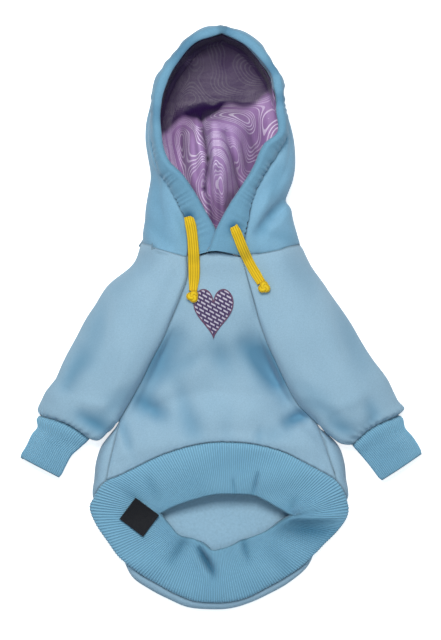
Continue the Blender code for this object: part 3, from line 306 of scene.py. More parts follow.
BELLY_CREASES = columns(
    "from_across from_down to_across to_down wide rise",
    (-3, -82, 5, -104, 8, -1.4), (20, -82, 47, -110, 8, -2.4), (-36, -116, -24, -154, 8, -1.6),
    (-85, -147, -78, -166, 5, -2.8), (-78, -166, -71, -182, 5, -1.8), (58, -147, 73, -140, 6, -3.0),
    (34, -152, 32, -164, 4, -1.2), (-56, -118, -30, -136, 10, 1.6), (44, -130, 20, -146, 9, 1.2),
    (-14, -96, -20, -126, 8, 0.9), (-90, -150, -86, -176, 4, 1.4), (-96, -152, -93, -180, 3, -1.4),
    (66, -150, 84, -172, 5, 1.5), (-60, -140, -64, -170, 6, 0.9), (8, -140, 4, -168, 8, -0.8),
    (-52, -74, -68, -104, 9, -3.4), (38, -86, 50, -108, 8, -2.8), (-72, -128, -52, -138, 8, -2.8),
    (-40, -104, -20, -92, 8, -1.8), (-46, -60, -34, -30, 7, -1.2),
)


def through(stations, values, at):
    """The smooth line through the values at these stations, read at the places asked for."""
    stations, values = np.asarray(stations, float), np.asarray(values, float)
    at = np.clip(np.atleast_1d(np.asarray(at, float)), stations[0], stations[-1])
    wide = (-1,) + (1,) * (values.ndim - 1)
    step = np.diff(stations).reshape(wide)
    slope = np.diff(values, axis=0) / step
    middle = (slope[:-1] * step[1:] + slope[1:] * step[:-1]) / (step[1:] + step[:-1])
    slopes = np.concatenate((slope[:1], middle, slope[-1:]))
    k = np.clip(np.searchsorted(stations, at, side="right") - 1, 0, len(stations) - 2)
    h = step[k]
    t = ((at - stations[k]) / h.reshape(-1)).reshape(wide)
    return (
        (2 * t**3 - 3 * t**2 + 1) * values[k] + (t**3 - 2 * t**2 + t) * h * slopes[k]
        + (3 * t**2 - 2 * t**3) * values[k + 1] + (t**3 - t**2) * h * slopes[k + 1]
    )


def run_of(points):
    """The length along the line through these points, up to each."""
    return np.concatenate(([0], np.linalg.norm(np.diff(points, axis=0), axis=1).cumsum()))


def evenly(points, share):
    """A point at each share of the length of the line through these points."""
    points = np.asarray(points, float)
    length = run_of(points)
    return through(length / length[-1], points, share)


def uneven(along, waves, drift, slow, start=0):
    """A wave along a seam whose pitch drifts, as gathers do."""
    return np.sin(along * waves + drift * np.sin(along * slow + start))


def smooth(x):
    x = np.clip(x, 0, 1)
    return x * x * (3 - 2 * x)


def unit(v):
    return v / np.maximum(np.linalg.norm(v, axis=-1, keepdims=True), 1e-12)


def on_body(across, down, up):
    return np.stack((across * BODY_WIDTH / 2, -down * BODY_LENGTH, up * BODY_LOFT), -1)


def on_hood(across, up, high):
    return np.stack((across * HOOD_WIDTH / 2, up * HOOD_HEIGHT, high * HOOD_LOFT), -1)


def fold_rise(points, folds, half, length, loft, ahead):
    """How far these folds lift each point: each is a soft ridge or valley along a line."""
    rise = np.zeros(points.shape[:-1])
    names = list(folds)
    for row in zip(*folds.values(), strict=True):
        row = dict(zip(names, row, strict=True))
        lo = np.array((row[names[0]] * half, row[names[1]] * length * ahead))
        hi = np.array((row[names[2]] * half, row[names[3]] * length * ahead))
        along = hi - lo
        share = np.clip(((points[..., :2] - lo) @ along) / (along @ along), 0, 1)
        away = np.linalg.norm(points[..., :2] - lo - share[..., None] * along, axis=-1)
        ends = 0.35 + 0.65 * np.sin(math.pi * np.clip(0.15 + 0.7 * share, 0, 1))
        rise += row["rise"] * loft * ends * np.exp(-((away / (row["wide"] * half)) ** 2))
    return rise


def body_rise(points, folds):
    return fold_rise(points, folds, BODY_WIDTH / 2, BODY_LENGTH, BODY_LOFT, -1)


def hood_rise(points, folds):
    return fold_rise(points, folds, HOOD_WIDTH / 2, HOOD_HEIGHT, HOOD_LOFT, 1)


def raglan(side, share):
    return evenly(on_body(**RAGLAN[side]), share)


def side_seam(side, share):
    t = SIDE[side]
    return evenly(on_body(t["across"], t["down"], t["up"]), share)


def back_lift(along):
    """How far the back seam has risen from the floor to the front seam, which it meets steeply."""
    share = np.clip((np.asarray(along) - LIFT_FROM) / (UNDERARM - LIFT_FROM), 0, 1)
    return 1 - np.sqrt(1 - share * share)


def hem_ring(at, names):
    """The band's seam or free edge by row number: 0 to 13 along the front, then the back."""
    rows = np.column_stack([np.concatenate((HEM_FRONT[n], HEM_BACK[n])) for n in names])
    count = len(rows)
    around = np.concatenate((rows[-3:], rows, rows[:3]))
    return through(np.arange(-3, count + 3), around, at)


HEM_CORNER = len(HEM_FRONT["across"]) - 1
HEM_COUNT = HEM_CORNER + 1 + len(HEM_BACK["across"])


def hem_seam(at):
    return on_body(*hem_ring(at, ("across", "down", "up")).T)


def belly_grid(rows, across):
    """The belly between the neck, both raglan and side seams and the hem."""
    left, right = (np.concatenate(side) for side in rows)
    n, length = len(left), run_of(left)
    v = length / length[-1]
    top = evenly(on_body(**NECK_FRONT), across)
    bottom = hem_seam(np.asarray(across) * HEM_CORNER)
    grid = np.zeros((n, len(across), 3))
    for i in range(n):
        for j, u in enumerate(across):
            ends = (1 - v[i]) * ((1 - u) * left[0] + u * right[0])
            ends = ends + v[i] * ((1 - u) * left[-1] + u * right[-1])
            grid[i, j] = (1 - v[i]) * top[j] + v[i] * bottom[j] + (1 - u) * left[i] + u * right[i] - ends
    u = np.asarray(across)
    puff = np.sin(math.pi * v)[:, None] ** 0.8 * np.sin(math.pi * u)[None, :] ** 1.2
    away = smooth(np.minimum(np.minimum(u, 1 - u)[None, :] / 0.12, (1 - v)[:, None] / 0.1))
    rise = body_rise(grid, BODY_FOLDS)
    grid[..., 2] += BELLY_PUFF * puff + rise * away
    return grid


def ripple(points, length, height, seed):
    """Gentle unevenness of loose cloth: a few waves of about this length in mixed directions."""
    chance = np.random.default_rng(seed)
    total = np.zeros(points.shape[:-1])
    for _ in range(9):
        way = chance.normal(size=3)
        way = way / np.linalg.norm(way) * 2 * math.pi / (length * chance.uniform(0.7, 1.5))
        total = total + np.sin(points @ way + chance.uniform(0, 6.3))
    return height * total / 3


def creases(points, table):
    """Rise in metres of the creases in a table that is written in millimetres."""
    return fold_rise(points, table, 0.001, 0.001, 0.001, 1)


def sheet(grid, flip=False, ring=False, swap=False, fold=None):
    """An open sheet from a grid of points, with its lengths along the cloth as UV in metres and
    fold, the depth of each point in a fold plus any extra painted shade, which sets its painted shade."""
    bm = bmesh.new()
    lifted = bm.verts.layers.float.new("fold")
    flat = bm.loops.layers.uv.new("cloth")
    rows, cols = grid.shape[:2]
    middle = grid[rows // 2], np.concatenate((grid, grid[:1])) if ring else grid
    u, v = run_of(middle[0]), run_of(middle[1][:, cols // 2])
    points = [[bm.verts.new(p) for p in row] for row in grid]
    for row, values in zip(points, np.zeros((rows, cols)) if fold is None else fold):
        for point, value in zip(row, values):
            point[lifted] = value
    for i in range(rows - 1 + ring):
        for j in range(cols - 1):
            k = (i + 1) % rows
            loop = [points[i][j], points[i][j + 1], points[k][j + 1], points[k][j]]
            spots = [(u[j], v[i]), (u[j + 1], v[i]), (u[j + 1], v[i + 1]), (u[j], v[i + 1])]
            if flip:
                loop, spots = loop[::-1], spots[::-1]
            for corner, spot in zip(bm.faces.new(loop).loops, spots):
                corner[flat].uv = spot[::-1] if swap else spot
    bmesh.ops.remove_doubles(bm, verts=bm.verts, dist=1e-5)
    bmesh.ops.dissolve_degenerate(bm, edges=bm.edges, dist=1e-6)
    bm.normal_update()
    return bm


# Stations along the seams, shared by the pieces on both sides of each
raglan_shares = np.linspace(0, 1, 89)
side_shares = np.linspace(0, 1, 29)
belly_columns = np.linspace(0, 1, 121)
edges = [[raglan(side, raglan_shares), side_seam(side, side_shares[1:])] for side in (LEFT, RIGHT)]
grid = belly_grid(edges, belly_columns)
rows = np.linspace(0, 1, len(grid))[:, None]
inside = smooth(np.minimum(belly_columns, 1 - belly_columns)[None] / 0.09)
inside = inside * smooth(np.minimum(rows, 1 - rows) / 0.07)
for _ in range(ROUNDING):
    level = np.pad(grid[..., 2], 1, mode="edge")
    level = (level[:-2, 1:-1] + level[2:, 1:-1] + level[1:-1, :-2] + level[1:-1, 2:]) / 4
    grid[..., 2] += inside * (level - grid[..., 2])
folded = creases(grid, BELLY_CREASES)
broad = body_rise(grid, BODY_FOLDS)
grid[..., 2] += inside * (folded + 0.5 * broad + ripple(grid, length=0.045, height=0.0009, seed=3))
gathers = uneven(belly_columns, 190, 2.2, 31)[None]
near_hem = np.exp(-(((1 - rows) / 0.05) ** 2)) * smooth((1 - rows) / 0.015)
grid[..., 2] += BELLY_GATHER * gathers * near_hem
panels = {}
panels["belly_panel"] = {
    "sheet": sheet(grid, flip=True, fold=folded + broad * 0.6), "wall": FLEECE, "material": "fleece",
    "flat": (0.205, 0.185), "area": 0.0185, "held": "laid", "rests_on": ("back_panel",),
}

# The back of the body lies flat on the floor and folds up round both sides and the hem's outer
# edge. It is the same fleece, and its brushed inner face shows through the body opening.


def spine_at(share):
    """Where on the back's middle line the cloth of each share of the way round the edge ends."""
    return -BODY_LENGTH * through((0, 0.2, 0.41, 0.55, 0.76, 1), (0, 0.18, 0.36, 0.5, 0.7, 0.82), share)


def back_rays(raglan_shares, side_shares, hem_stations):
    """Rays of the back panel from its edge, round its outermost fold, to the middle of the floor."""
    edge, fold = [], []
    for side in (LEFT, RIGHT):
        seam = raglan(side, raglan_shares)
        lift = back_lift(raglan_shares * UNDERARM)
        seam[:, 2] *= lift
        t = SIDE[side]
        folded = on_body(t["fold_across"], t["fold_down"], t["fold_up"])
        inward = np.column_stack((seam[:, 0], seam[:, 1] - spine_at(raglan_shares / 2.2)))
        beside = seam - unit(np.column_stack((inward, 0 * inward[:, 0]))) * SEAM_FLAT
        beside[:, 2] = 0
        beside += (folded[0] - beside[-1]) * lift[:, None] ** 3
        flank = side_seam(side, side_shares[1:])
        flank_fold = evenly(folded, side_shares[1:])
        edge.append(np.concatenate((seam, flank)))
        fold.append(np.concatenate((beside, flank_fold)))
    names = ("fold_across", "fold_down", "fold_up")
    corners = [[SIDE[side][n][-1] for n in names] for side in (RIGHT, LEFT)]
    table = np.array([corners[0], *zip(*(HEM_BACK[n] for n in names), strict=True), corners[1]])
    hem_fold = on_body(*through(np.arange(HEM_CORNER, HEM_COUNT + 1), table, hem_stations).T)
    inner = hem_stations[1:-1][::-1]
    edges = np.concatenate((edge[0], hem_seam(inner), edge[1][::-1]))
    folds = np.concatenate((fold[0], hem_fold[1:-1][::-1], fold[1][::-1]))
    n = len(edges)
    middle = np.minimum(np.arange(n), n - 1 - np.arange(n)) / ((n - 1) / 2)
    centre = np.column_stack((np.zeros(n), spine_at(middle), np.zeros(n)))
    flat = folds + unit(centre - folds) * (0.004 + 0.9 * folds[:, 2:])
    flat[:, 2] = 0
    under = (folds + flat) / 2
    under[:, 2] = 0.22 * folds[:, 2]
    return np.stack((edges, folds, under, flat, flat + (centre - flat) * 0.4, centre), 1)


hem_stations = np.linspace(HEM_CORNER, HEM_COUNT, 321)
rays = back_rays(raglan_shares, side_shares, hem_stations)
inward = np.array((0, 0.14, 0.3, 0.4, 0.5, 0.58, 0.66, 0.72, 0.78, 0.86, 0.93, 1))
grid = through((0, 0.3, 0.5, 0.66, 0.83, 1), rays.transpose(1, 0, 2), inward).transpose(1, 0, 2)
grid[..., 2] = np.maximum(grid[..., 2], 0)
panels["back_panel"] = {
    "sheet": sheet(grid), "wall": FLEECE, "material": "fleece", "flat": (0.235, 0.33),
    "area": 0.0500, "held": "laid", "rests_on": ("floor",),
}

# Two raglan sleeves of the same fleece. Each wraps round the shoulder from the front raglan seam
# to the back one, and closes to a tube below the underarm.
SLEEVE_WIDTH = 0.0655
SLEEVE_FREE = 0.0315  # underarm to cuff seam, along the inner edge
SLEEVE_LOFT = 0.046
SLEEVE_GATHER = 0.0011  # height of the small gathers along the cuff seam
CUFF_BOW = 0.0034  # how far the cuff seam arches over the top of the sleeve

# Sleeve sections from neck to cuff: the angle in degrees from the inner to the outer edge, and
# shares of the sleeve's width and loft
SLEEVE = {
    LEFT: columns(
        "along angle wide high",
        (0, 16.3, 0.623, 1), (0.12, 18.4, 0.750, 0.99), (0.25, 23.3, 0.930, 0.97),
        (0.40, 27.6, 1.004, 0.95), (0.55, 30.8, 1.025, 0.91), (0.70, 32.7, 1.024, 0.86),
        (0.80, 34.8, 0.994, 0.80), (0.90, 31.7, 0.962, 0.70), (0.96, 27.7, 0.879, 0.59),
        (1, 25.7, 0.735, 0.46),
    ),
    RIGHT: columns(
        "along angle wide high",
        (0, 12.4, 0.784, 1), (0.12, 16.8, 0.846, 0.99), (0.25, 21.4, 0.968, 0.97),
        (0.40, 25.2, 1.085, 0.95), (0.55, 27.7, 1.130, 0.91), (0.70, 30.2, 1.140, 0.86),
        (0.80, 32.2, 1.082, 0.80), (0.90, 31.3, 0.985, 0.70), (0.96, 30.6, 0.925, 0.59),
        (1, 32.6, 0.748, 0.46),
    ),
}
# Inner edge of the sleeve below the underarm, as shares of its free length and loft
SLEEVE_INNER = {
    LEFT: columns(
        "across down up", (0, 0, 0.304), (-0.250, 0.260, 0.290), (-0.540, 0.500, 0.265),
        (-0.770, 0.473, 0.228),
    ),
    RIGHT: columns(
        "across down up", (0, 0, 0.304), (0.270, 0.262, 0.290), (0.595, 0.505, 0.265),
        (0.905, 0.560, 0.228),
    ),
}
# Around a sleeve, from the front seam over the outer edge to the back seam: shares of its width
# and height. The first shape is open to the body, the second is the loose tube
AROUND = columns(
    "turn across high loose_across loose_high",
    (0, 0, 1, 0, 1), (0.06, 0.06, 0.92, 0.03, 0.66), (0.15, 0.20, 0.98, 0.16, 0.92),
    (0.28, 0.42, 1.00, 0.42, 1.00), (0.42, 0.70, 0.86, 0.70, 0.86), (0.52, 0.90, 0.57, 0.90, 0.56),
    (0.58, 0.985, 0.36, 0.985, 0.36), (0.62, 1.00, 0.24, 1.00, 0.25), (0.66, 0.985, 0.11, 0.985, 0.11),
    (0.71, 0.93, 0.02, 0.93, 0.02), (0.76, 0.84, 0, 0.84, 0), (0.88, 0.45, 0, 0.40, 0),
    (0.95, 0.18, 0, 0.08, 0.05), (1, 0, 0, 0, 1),
)

SLEEVE_CREASES = columns(
    "from_across from_down to_across to_down wide rise",
    (-117, -143, -92, -152, 8, -2.8), (-118, -86, -130, -116, 7, -1.9), (96, -146, 112, -154, 7, -2.4),
    (-92, -35, -113, -94, 9, -2.0), (-113, -94, -130, -116, 7, -1.8), (-116, -142, -94, -158, 6, -2.4),
    (-122, -128, -100, -134, 5, 1.2), (-78, -128, -100, -140, 6, -1.6), (-70, -118, -92, -126, 6, -1.2),
    (-96, -30, -84, -90, 9, 1.2), (-60, -6, -84, -30, 9, -1.0), (-48, -20, -60, -58, 7, 1.0),
    (125, -130, 131, -142, 6, -2.4), (131, -142, 124, -150, 5, -1.6), (96, -50, 122, -100, 9, -1.6),
    (74, -130, 98, -140, 6, -1.8), (66, -116, 88, -126, 6, -1.2), (104, -134, 122, -124, 6, 1.3),
    (88, -36, 100, -84, 9, 1.0), (60, -10, 80, -34, 9, -1.0), (96, -150, 110, -156, 5, -1.4),
)


def tube_section(inner, angle, wide, high, loose, side, turn, bow):
    """One ring around a sleeve or cuff, in the upright plane from its inner to its outer edge."""
    t = AROUND
    edge = inner[2] / high
    across = t["across"] * (1 - loose) + t["loose_across"] * loose
    rise = t["high"] * (1 - loose) + t["loose_high"] * loose
    rise[0], rise[-1] = edge, edge * loose
    rise[1] = edge + (1 - edge) * EDGE_SWELL
    shape = through(t["turn"], np.column_stack((across, rise)), turn)
    shape[:, 1] = np.maximum(shape[:, 1], 0)
    out = np.array((side * math.cos(angle), math.sin(angle)))
    down = np.array((side * math.sin(angle), -math.cos(angle)))
    plan = inner[:2] + shape[:, :1] * wide * out
    arch = bow * np.sin(math.pi * np.clip(shape[:, 0], 0, 1)) * shape[:, 1]
    return np.column_stack((plan - arch[:, None] * down, shape[:, 1] * high))


def sleeve_row(side, along, turn):
    t = SLEEVE[side]
    angle, wide, high = (through(t["along"], t[n], along)[0] for n in ("angle", "wide", "high"))
    if along <= UNDERARM:
        inner = raglan(side, along / UNDERARM)[0]
    else:
        i = SLEEVE_INNER[side]
        free = np.stack((i["across"] * SLEEVE_FREE, -i["down"] * SLEEVE_FREE, i["up"] * 0), -1)
        inner = evenly(free, (along - UNDERARM) / (1 - UNDERARM))[0] + raglan(side, 1)[0]
        off = abs(inner[0] - raglan(side, 1)[0, 0]) / SLEEVE_FREE
        inner[2] = through(i["across"] * side, i["up"], off)[0] * SLEEVE_LOFT
    loose = float(back_lift(along))
    bow = CUFF_BOW * float(smooth((along - 0.86) / 0.14))
    size = wide * SLEEVE_WIDTH, high * SLEEVE_LOFT
    return tube_section(inner, math.radians(angle), *size, loose, side, turn, bow)


sleeve_rows = np.concatenate((raglan_shares * UNDERARM, np.linspace(0.8, 1, 34)[1:]))
turns = np.concatenate((np.linspace(0, 0.7, 86), np.linspace(0.7, 1, 19)[1:]))
for side, word in ((LEFT, "left"), (RIGHT, "right")):
    grid = np.array([sleeve_row(side, share, turns) for share in sleeve_rows])
    along = sleeve_rows[:, None]
    inside = smooth(along / 0.06) * smooth((1 - along) / 0.04) * smooth(turns[None] / 0.07)
    inside = inside * smooth(grid[..., 2] / 0.010) * smooth((0.66 - turns[None]) / 0.08)
    folded = inside * creases(grid, SLEEVE_CREASES)
    grid[..., 2] += folded + inside * ripple(grid, length=0.05, height=0.0010, seed=7)
    gathers = uneven(turns, 118, 1.7, 23)[None]
    near_cuff = np.exp(-(((1 - along) / 0.055) ** 2)) * smooth((1 - along) / 0.012)
    near_cuff = near_cuff * smooth(grid[..., 2] / 0.008) * smooth(turns / 0.05)
    grid[..., 2] += SLEEVE_GATHER * gathers * near_cuff
    panels["sleeve_" + word] = {
        "sheet": sheet(grid, flip=side == RIGHT, fold=folded), "wall": FLEECE, "material": "fleece",
        "flat": (0.185, 0.175), "area": 0.025, "held": "laid", "rests_on": ("floor", "back_panel"),
    }

# The cuffs are doubled two by two rib knit. Each is sewn to its sleeve with a slight gather and
# lies half flat on the floor.
CUFF_WIDTH = 0.039
CUFF_LENGTH = 0.038
CUFF_LOFT = 0.017
RIB = 0.003  # the doubled knit's thickness
RIB_PITCH = 0.0017
RIB_HEIGHT = 0.00022
RIB_CUTS = 3  # cuts across each strip of the mesh, so that it can show its ribs
# Cuff sections from the seam to the edge: shares of the cuff's length, then its angle and shares
# of its width and loft
CUFF = {
    LEFT: columns(
        "along across down angle wide high",
        (0, 0, 0, 25.7, 1.23, 1.21), (0.12, -0.10, 0.067, 25.6, 1.110, 1.12),
        (0.30, -0.267, 0.211, 27.9, 1.010, 1.03), (0.50, -0.411, 0.344, 27.7, 0.983, 0.97),
        (0.75, -0.550, 0.590, 27.1, 0.965, 0.88), (1, -0.680, 0.860, 27.4, 1.000, 0.82),
    ),
    RIGHT: columns(
        "along across down angle wide high",
        (0, 0, 0, 32.6, 1.252, 1.21), (0.12, 0.089, 0.067, 32.3, 1.190, 1.12),
        (0.30, 0.211, 0.200, 30.9, 1.130, 1.03), (0.50, 0.344, 0.356, 30.5, 1.135, 0.97),
        (0.75, 0.500, 0.556, 32.3, 1.120, 0.88), (1, 0.670, 0.790, 33.4, 1.085, 0.82),
    ),
}


def cuff_row(side, along, turn):
    t = CUFF[side]
    across, down, angle, wide, high = (
        through(t["along"], t[n], along)[0] for n in ("across", "down", "angle", "wide", "high")
    )
    seam = sleeve_row(side, 1, turn)
    start = sleeve_row(side, 1, [0])[0]
    inner = start + np.array((across * CUFF_LENGTH, -down * CUFF_LENGTH, 0))
    inner[2] = 0.45 * high * CUFF_LOFT
    size = wide * CUFF_WIDTH, high * CUFF_LOFT
    ring = tube_section(inner, math.radians(angle), *size, 1, side, turn, 0)
    hold = 1 - float(smooth(along / 0.3))
    return ring * (1 - hold) + (seam + (inner - start) * np.array((1, 1, 0))) * hold


for side, word in ((LEFT, "left"), (RIGHT, "right")):
    lengths = np.concatenate(([0, 0.05], np.linspace(0.12, 1, 24)))
    grid = np.array([cuff_row(side, share, turns) for share in lengths])
    dent = ripple(grid, length=0.03, height=0.0005, seed=11) * smooth(lengths / 0.2)[:, None]
    grid[..., 2] += dent * smooth(grid[..., 2] / 0.006)
    panels["cuff_" + word] = {
        "sheet": sheet(grid, flip=side == RIGHT), "wall": RIB, "material": "rib",
        "flat": (0.092, 0.038), "area": 0.0034, "held": "laid", "rests_on": ("floor",),
    }

# The wide band round the lower edge is the same rib knit, folded double, and draws the opening
# in to a lens shape. The label is sewn to it.
BAND_ROLL = 0.006  # how high the hem band swells between its seam and its free edge

BAND_FOLDS = columns(
    "from_across from_down to_across to_down wide rise",
    (-0.15, 0.843, -0.05, 0.895, 0.045, -0.09), (0.555, 0.744, 0.90, 0.742, 0.035, 0.08),
    (0.60, 0.775, 0.86, 0.780, 0.06, -0.05), (0.29, 0.63, 0.26, 0.68, 0.02, -0.04),
    (0.16, 0.81, 0.21, 0.86, 0.03, -0.05), (-0.27, 0.80, -0.38, 0.86, 0.04, 0.04),
)

BAND_CREASES = columns(
    "from_across from_down to_across to_down wide rise",
    (-18, -255, -6, -275, 2.2, -3.6), (-24, -258, -12, -278, 2.4, 1.8), (20, -246, 23, -262, 3, -1.6),
    (-29, -246, -41, -264, 4, -1.6), (56, -238, 92, -243, 10, -2.4),
    (32, -191, 28, -210, 2.0, -2.2), (11, -197, 12.5, -208, 1.8, -2.0), (62, -214, 60, -226, 4, -1.6),
    (-17, -258, -5, -276, 5, -2.6), (19, -246, 23, -264, 5, -1.5), (-30, -246, -42, -264, 6, -1.4),
    (60, -226, 81, -219, 5, 2.6), (81, -219, 101, -227, 5, 2.4), (60, -238, 98, -240, 8, -2.0),
    (-60, -196, -52, -210, 4, -1.2), (-78, -206, -66, -216, 4, -1.4), (44, -258, 60, -276, 7, -1.2),
)


def band_rows(at, widths):
    """Rings of the hem band, from its seam to its free edge."""
    seam = hem_seam(at)
    edge = on_body(*hem_ring(at, ("edge_across", "edge_down", "edge_up")).T)
    roll = hem_ring(at, ("roll",)) * BODY_WIDTH / 2
    out = unit((seam - edge)[:, :2])
    swell = np.clip(1.15 - seam[:, 2] / (0.6 * BODY_LOFT), 0.15, 1.1) * BAND_ROLL
    rings = []
    for w in widths:
        ring = seam + (edge - seam) * w
        ring[:, :2] += out * roll * (w / 0.1) * math.exp(1 - w / 0.1)
        ring[:, 2] += swell * math.sin(math.pi * math.sqrt(w))
        inside = smooth(min(w, 1 - w) / 0.25) + (smooth(w / 0.4) if w > 0.5 else 0)
        ring[:, 2] += body_rise(ring, BAND_FOLDS) * min(inside, 1)
        rings.append(ring)
    return np.array(rings)


band_stations = np.concatenate((belly_columns * HEM_CORNER, hem_stations[1:-1]))
band_widths = np.concatenate(([0, 0.03], np.linspace(0.07, 1, 24)))
grid = band_rows(band_stations, band_widths).transpose(1, 0, 2)
held = (smooth(band_widths / 0.12) * (1 - 0.5 * smooth((band_widths - 0.8) / 0.2)))[None]
folded = creases(grid, BAND_CREASES)
grid[..., 2] += held * (folded + ripple(grid, length=0.04, height=0.0009, seed=17))
panels["hem_band"] = {
    "sheet": sheet(grid, ring=True, swap=True, fold=folded), "wall": RIB, "material": "rib",
    "flat": (0.46, 0.046), "area": 0.0184, "held": "laid", "rests_on": ("back_panel",),
}

# The outer hood is fleece in two halves. It lies on its back, propped open by its own
# stiffness, and leans in at the right, where a fold runs down to the neck.
HOOD_WIDTH = 0.124
HOOD_HEIGHT = 0.187  # neck seam to crown
HOOD_LOFT = 0.070
NECK_END = 0.82  # the hood's column at which it leaves the sleeve, behind the neck
NECK_TURNS = (0, 0.62, 0.76, 1), (0, 0.42, 0.56, NECK_END)  # turns round the sleeve, and columns

# Hood from the neck to the crown, as shares of half its width, its height and its loft: the seam
# of the drawstring casing, the outermost bulge, where it meets the floor, the middle of its back,
# and the rim's inner edge
HOOD_COLUMNS = (
    "along across up high out_across out_up out_high floor_across floor_up back_up"
    " rim_across rim_up rim_high"
)
HOOD = {
    LEFT: columns(
        HOOD_COLUMNS,
        (0, -0.438, -0.034, 0.636, -1.088, 0.011, 0.257, -0.945, 0.005, 0, 0.055, -0.025, 0.614),
        (0.05, -0.442, 0.025, 0.686, -1.051, 0.077, 0.286, -0.911, 0.066, 0.059, -0.048, 0.059, 0.65),
        (0.10, -0.470, 0.111, 0.714, -1.014, 0.164, 0.314, -0.870, 0.155, 0.145, -0.200, 0.159, 0.73),
        (0.16, -0.596, 0.209, 0.750, -0.990, 0.255, 0.343, -0.842, 0.250, 0.236, -0.356, 0.255, 0.81),
        (0.22, -0.705, 0.279, 0.771, -0.970, 0.345, 0.364, -0.822, 0.341, 0.332, -0.507, 0.330, 0.89),
        (0.28, -0.856, 0.364, 0.779, -0.982, 0.427, 0.379, -0.829, 0.423, 0.414, -0.699, 0.400, 0.94),
        (0.33, -0.911, 0.485, 0.764, -0.996, 0.505, 0.386, -0.842, 0.500, 0.491, -0.781, 0.491, 0.98),
        (0.38, -0.900, 0.620, 0.750, -0.968, 0.600, 0.393, -0.815, 0.591, 0.577, -0.797, 0.623, 0.99),
        (0.42, -0.838, 0.729, 0.736, -0.855, 0.730, 0.393, -0.699, 0.705, 0.673, -0.747, 0.718, 0.99),
        (0.455, -0.666, 0.841, 0.714, -0.679, 0.845, 0.379, -0.534, 0.805, 0.750, -0.582, 0.823, 0.96),
        (0.48, -0.356, 0.951, 0.693, -0.364, 0.955, 0.371, -0.267, 0.905, 0.814, -0.301, 0.925, 0.93),
        (0.50, 0.027, 0.990, 0.679, 0.027, 0.994, 0.364, 0.027, 0.941, 0.850, 0.027, 0.961, 0.92),
    ),
    RIGHT: columns(
        HOOD_COLUMNS,
        (0, 0.301, -0.041, 0.664, 1.118, 0.014, 0.257, 0.973, 0.005, 0, -0.116, -0.011, 0.714),
        (0.05, 0.335, 0.025, 0.736, 1.041, 0.068, 0.286, 0.904, 0.055, 0.059, -0.055, 0.064, 0.75),
        (0.10, 0.395, 0.123, 0.764, 0.959, 0.155, 0.314, 0.815, 0.145, 0.145, 0.104, 0.173, 0.79),
        (0.16, 0.459, 0.226, 0.779, 0.908, 0.225, 0.343, 0.774, 0.220, 0.236, 0.267, 0.264, 0.84),
        (0.22, 0.607, 0.329, 0.786, 1.003, 0.309, 0.364, 0.863, 0.307, 0.332, 0.438, 0.359, 0.90),
        (0.28, 0.784, 0.420, 0.779, 1.027, 0.391, 0.379, 0.877, 0.391, 0.414, 0.589, 0.464, 0.95),
        (0.33, 0.893, 0.502, 0.764, 0.986, 0.505, 0.386, 0.842, 0.498, 0.491, 0.775, 0.523, 0.99),
        (0.38, 0.840, 0.620, 0.750, 0.900, 0.620, 0.393, 0.767, 0.605, 0.577, 0.760, 0.618, 1.00),
        (0.42, 0.800, 0.716, 0.736, 0.808, 0.716, 0.393, 0.685, 0.691, 0.673, 0.737, 0.709, 0.99),
        (0.455, 0.684, 0.811, 0.714, 0.692, 0.814, 0.379, 0.582, 0.773, 0.750, 0.644, 0.800, 0.96),
        (0.48, 0.384, 0.936, 0.693, 0.392, 0.940, 0.371, 0.308, 0.886, 0.814, 0.349, 0.911, 0.93),
        (0.50, 0.027, 0.990, 0.679, 0.027, 0.994, 0.364, 0.027, 0.941, 0.850, 0.027, 0.961, 0.92),
    ),
}

HOOD_FOLDS = columns(
    "from_across from_up to_across to_up wide rise",
    (0.95, 0.21, 0.52, 0.07, 0.09, -0.06), (0.92, 0.30, 0.45, 0.14, 0.10, 0.05),
)

HOOD_CREASES = columns(
    "from_across from_down to_across to_down wide rise",
    (54, 40, 44, 27, 4, -2.4), (44, 27, 32, 13, 4, -2.0), (60, 36, 46, 18, 5, 1.6),
    (-58, 60, -46, 22, 6, -1.2), (-50, 44, -38, 14, 5, 1.0), (-62, 24, -44, 4, 6, -1.2),
    (50, 66, 44, 44, 5, -1.2), (40, 14, 62, 6, 5, -1.4), (-36, 26, -30, 6, 4, -1.0),
)


def neck_line(side, w):
    """The neck seam from the casing round the shoulder and under to the middle of the back."""
    w = np.asarray(w, float)
    turn = np.interp(w, *NECK_TURNS[::-1])
    line = sleeve_row(side, 0, turn)
    under = sleeve_row(side, 0, [1.0])[0]
    middle = np.zeros(3)
    share = np.clip((w - NECK_END) / (1 - NECK_END), 0, 1)[:, None]
    away = np.where(share < 1e-9, under, under + (middle - under) * share)
    return line * (1 - share) + share * away


def hood_grid(side, along, w):
    """The hood's outer face: rows from the neck to the crown, columns from casing to back."""
    t = HOOD[side]
    seam = through(t["along"], on_hood(t["across"], t["up"], t["high"]), along)
    out = through(t["along"], on_hood(t["out_across"], t["out_up"], t["out_high"]), along)
    floor = through(t["along"], on_hood(t["floor_across"], t["floor_up"], 0 * t["up"]), along)
    crown = HOOD[side]["across"][-1]
    back_across = crown * smooth(np.asarray(t["along"]) / 0.2)
    back = through(t["along"], on_hood(back_across, t["back_up"], 0 * t["up"]), along)
    shoulder = seam + (out - seam) * np.array((0.55, 0.55, 0.22))
    under = out + (floor - out) * np.array((0.35, 0.35, 0.78))
    controls = np.stack((seam, shoulder, out, under, floor, (floor + back) / 2, back))
    grid = through((0, 0.2, 0.42, 0.5, 0.58, 0.79, 1), controls, w).transpose(1, 0, 2)
    grid[..., 2] = np.maximum(grid[..., 2], 0)
    rise = hood_rise(grid, HOOD_FOLDS)
    inside = smooth(np.asarray(w) / 0.15) * smooth((0.42 - np.asarray(w)) / 0.15)
    grid[..., 2] += rise * inside
    hold = (1 - smooth(np.asarray(along) / 0.07))[:, None, None]
    return grid * (1 - hold) + neck_line(side, w)[None] * hold


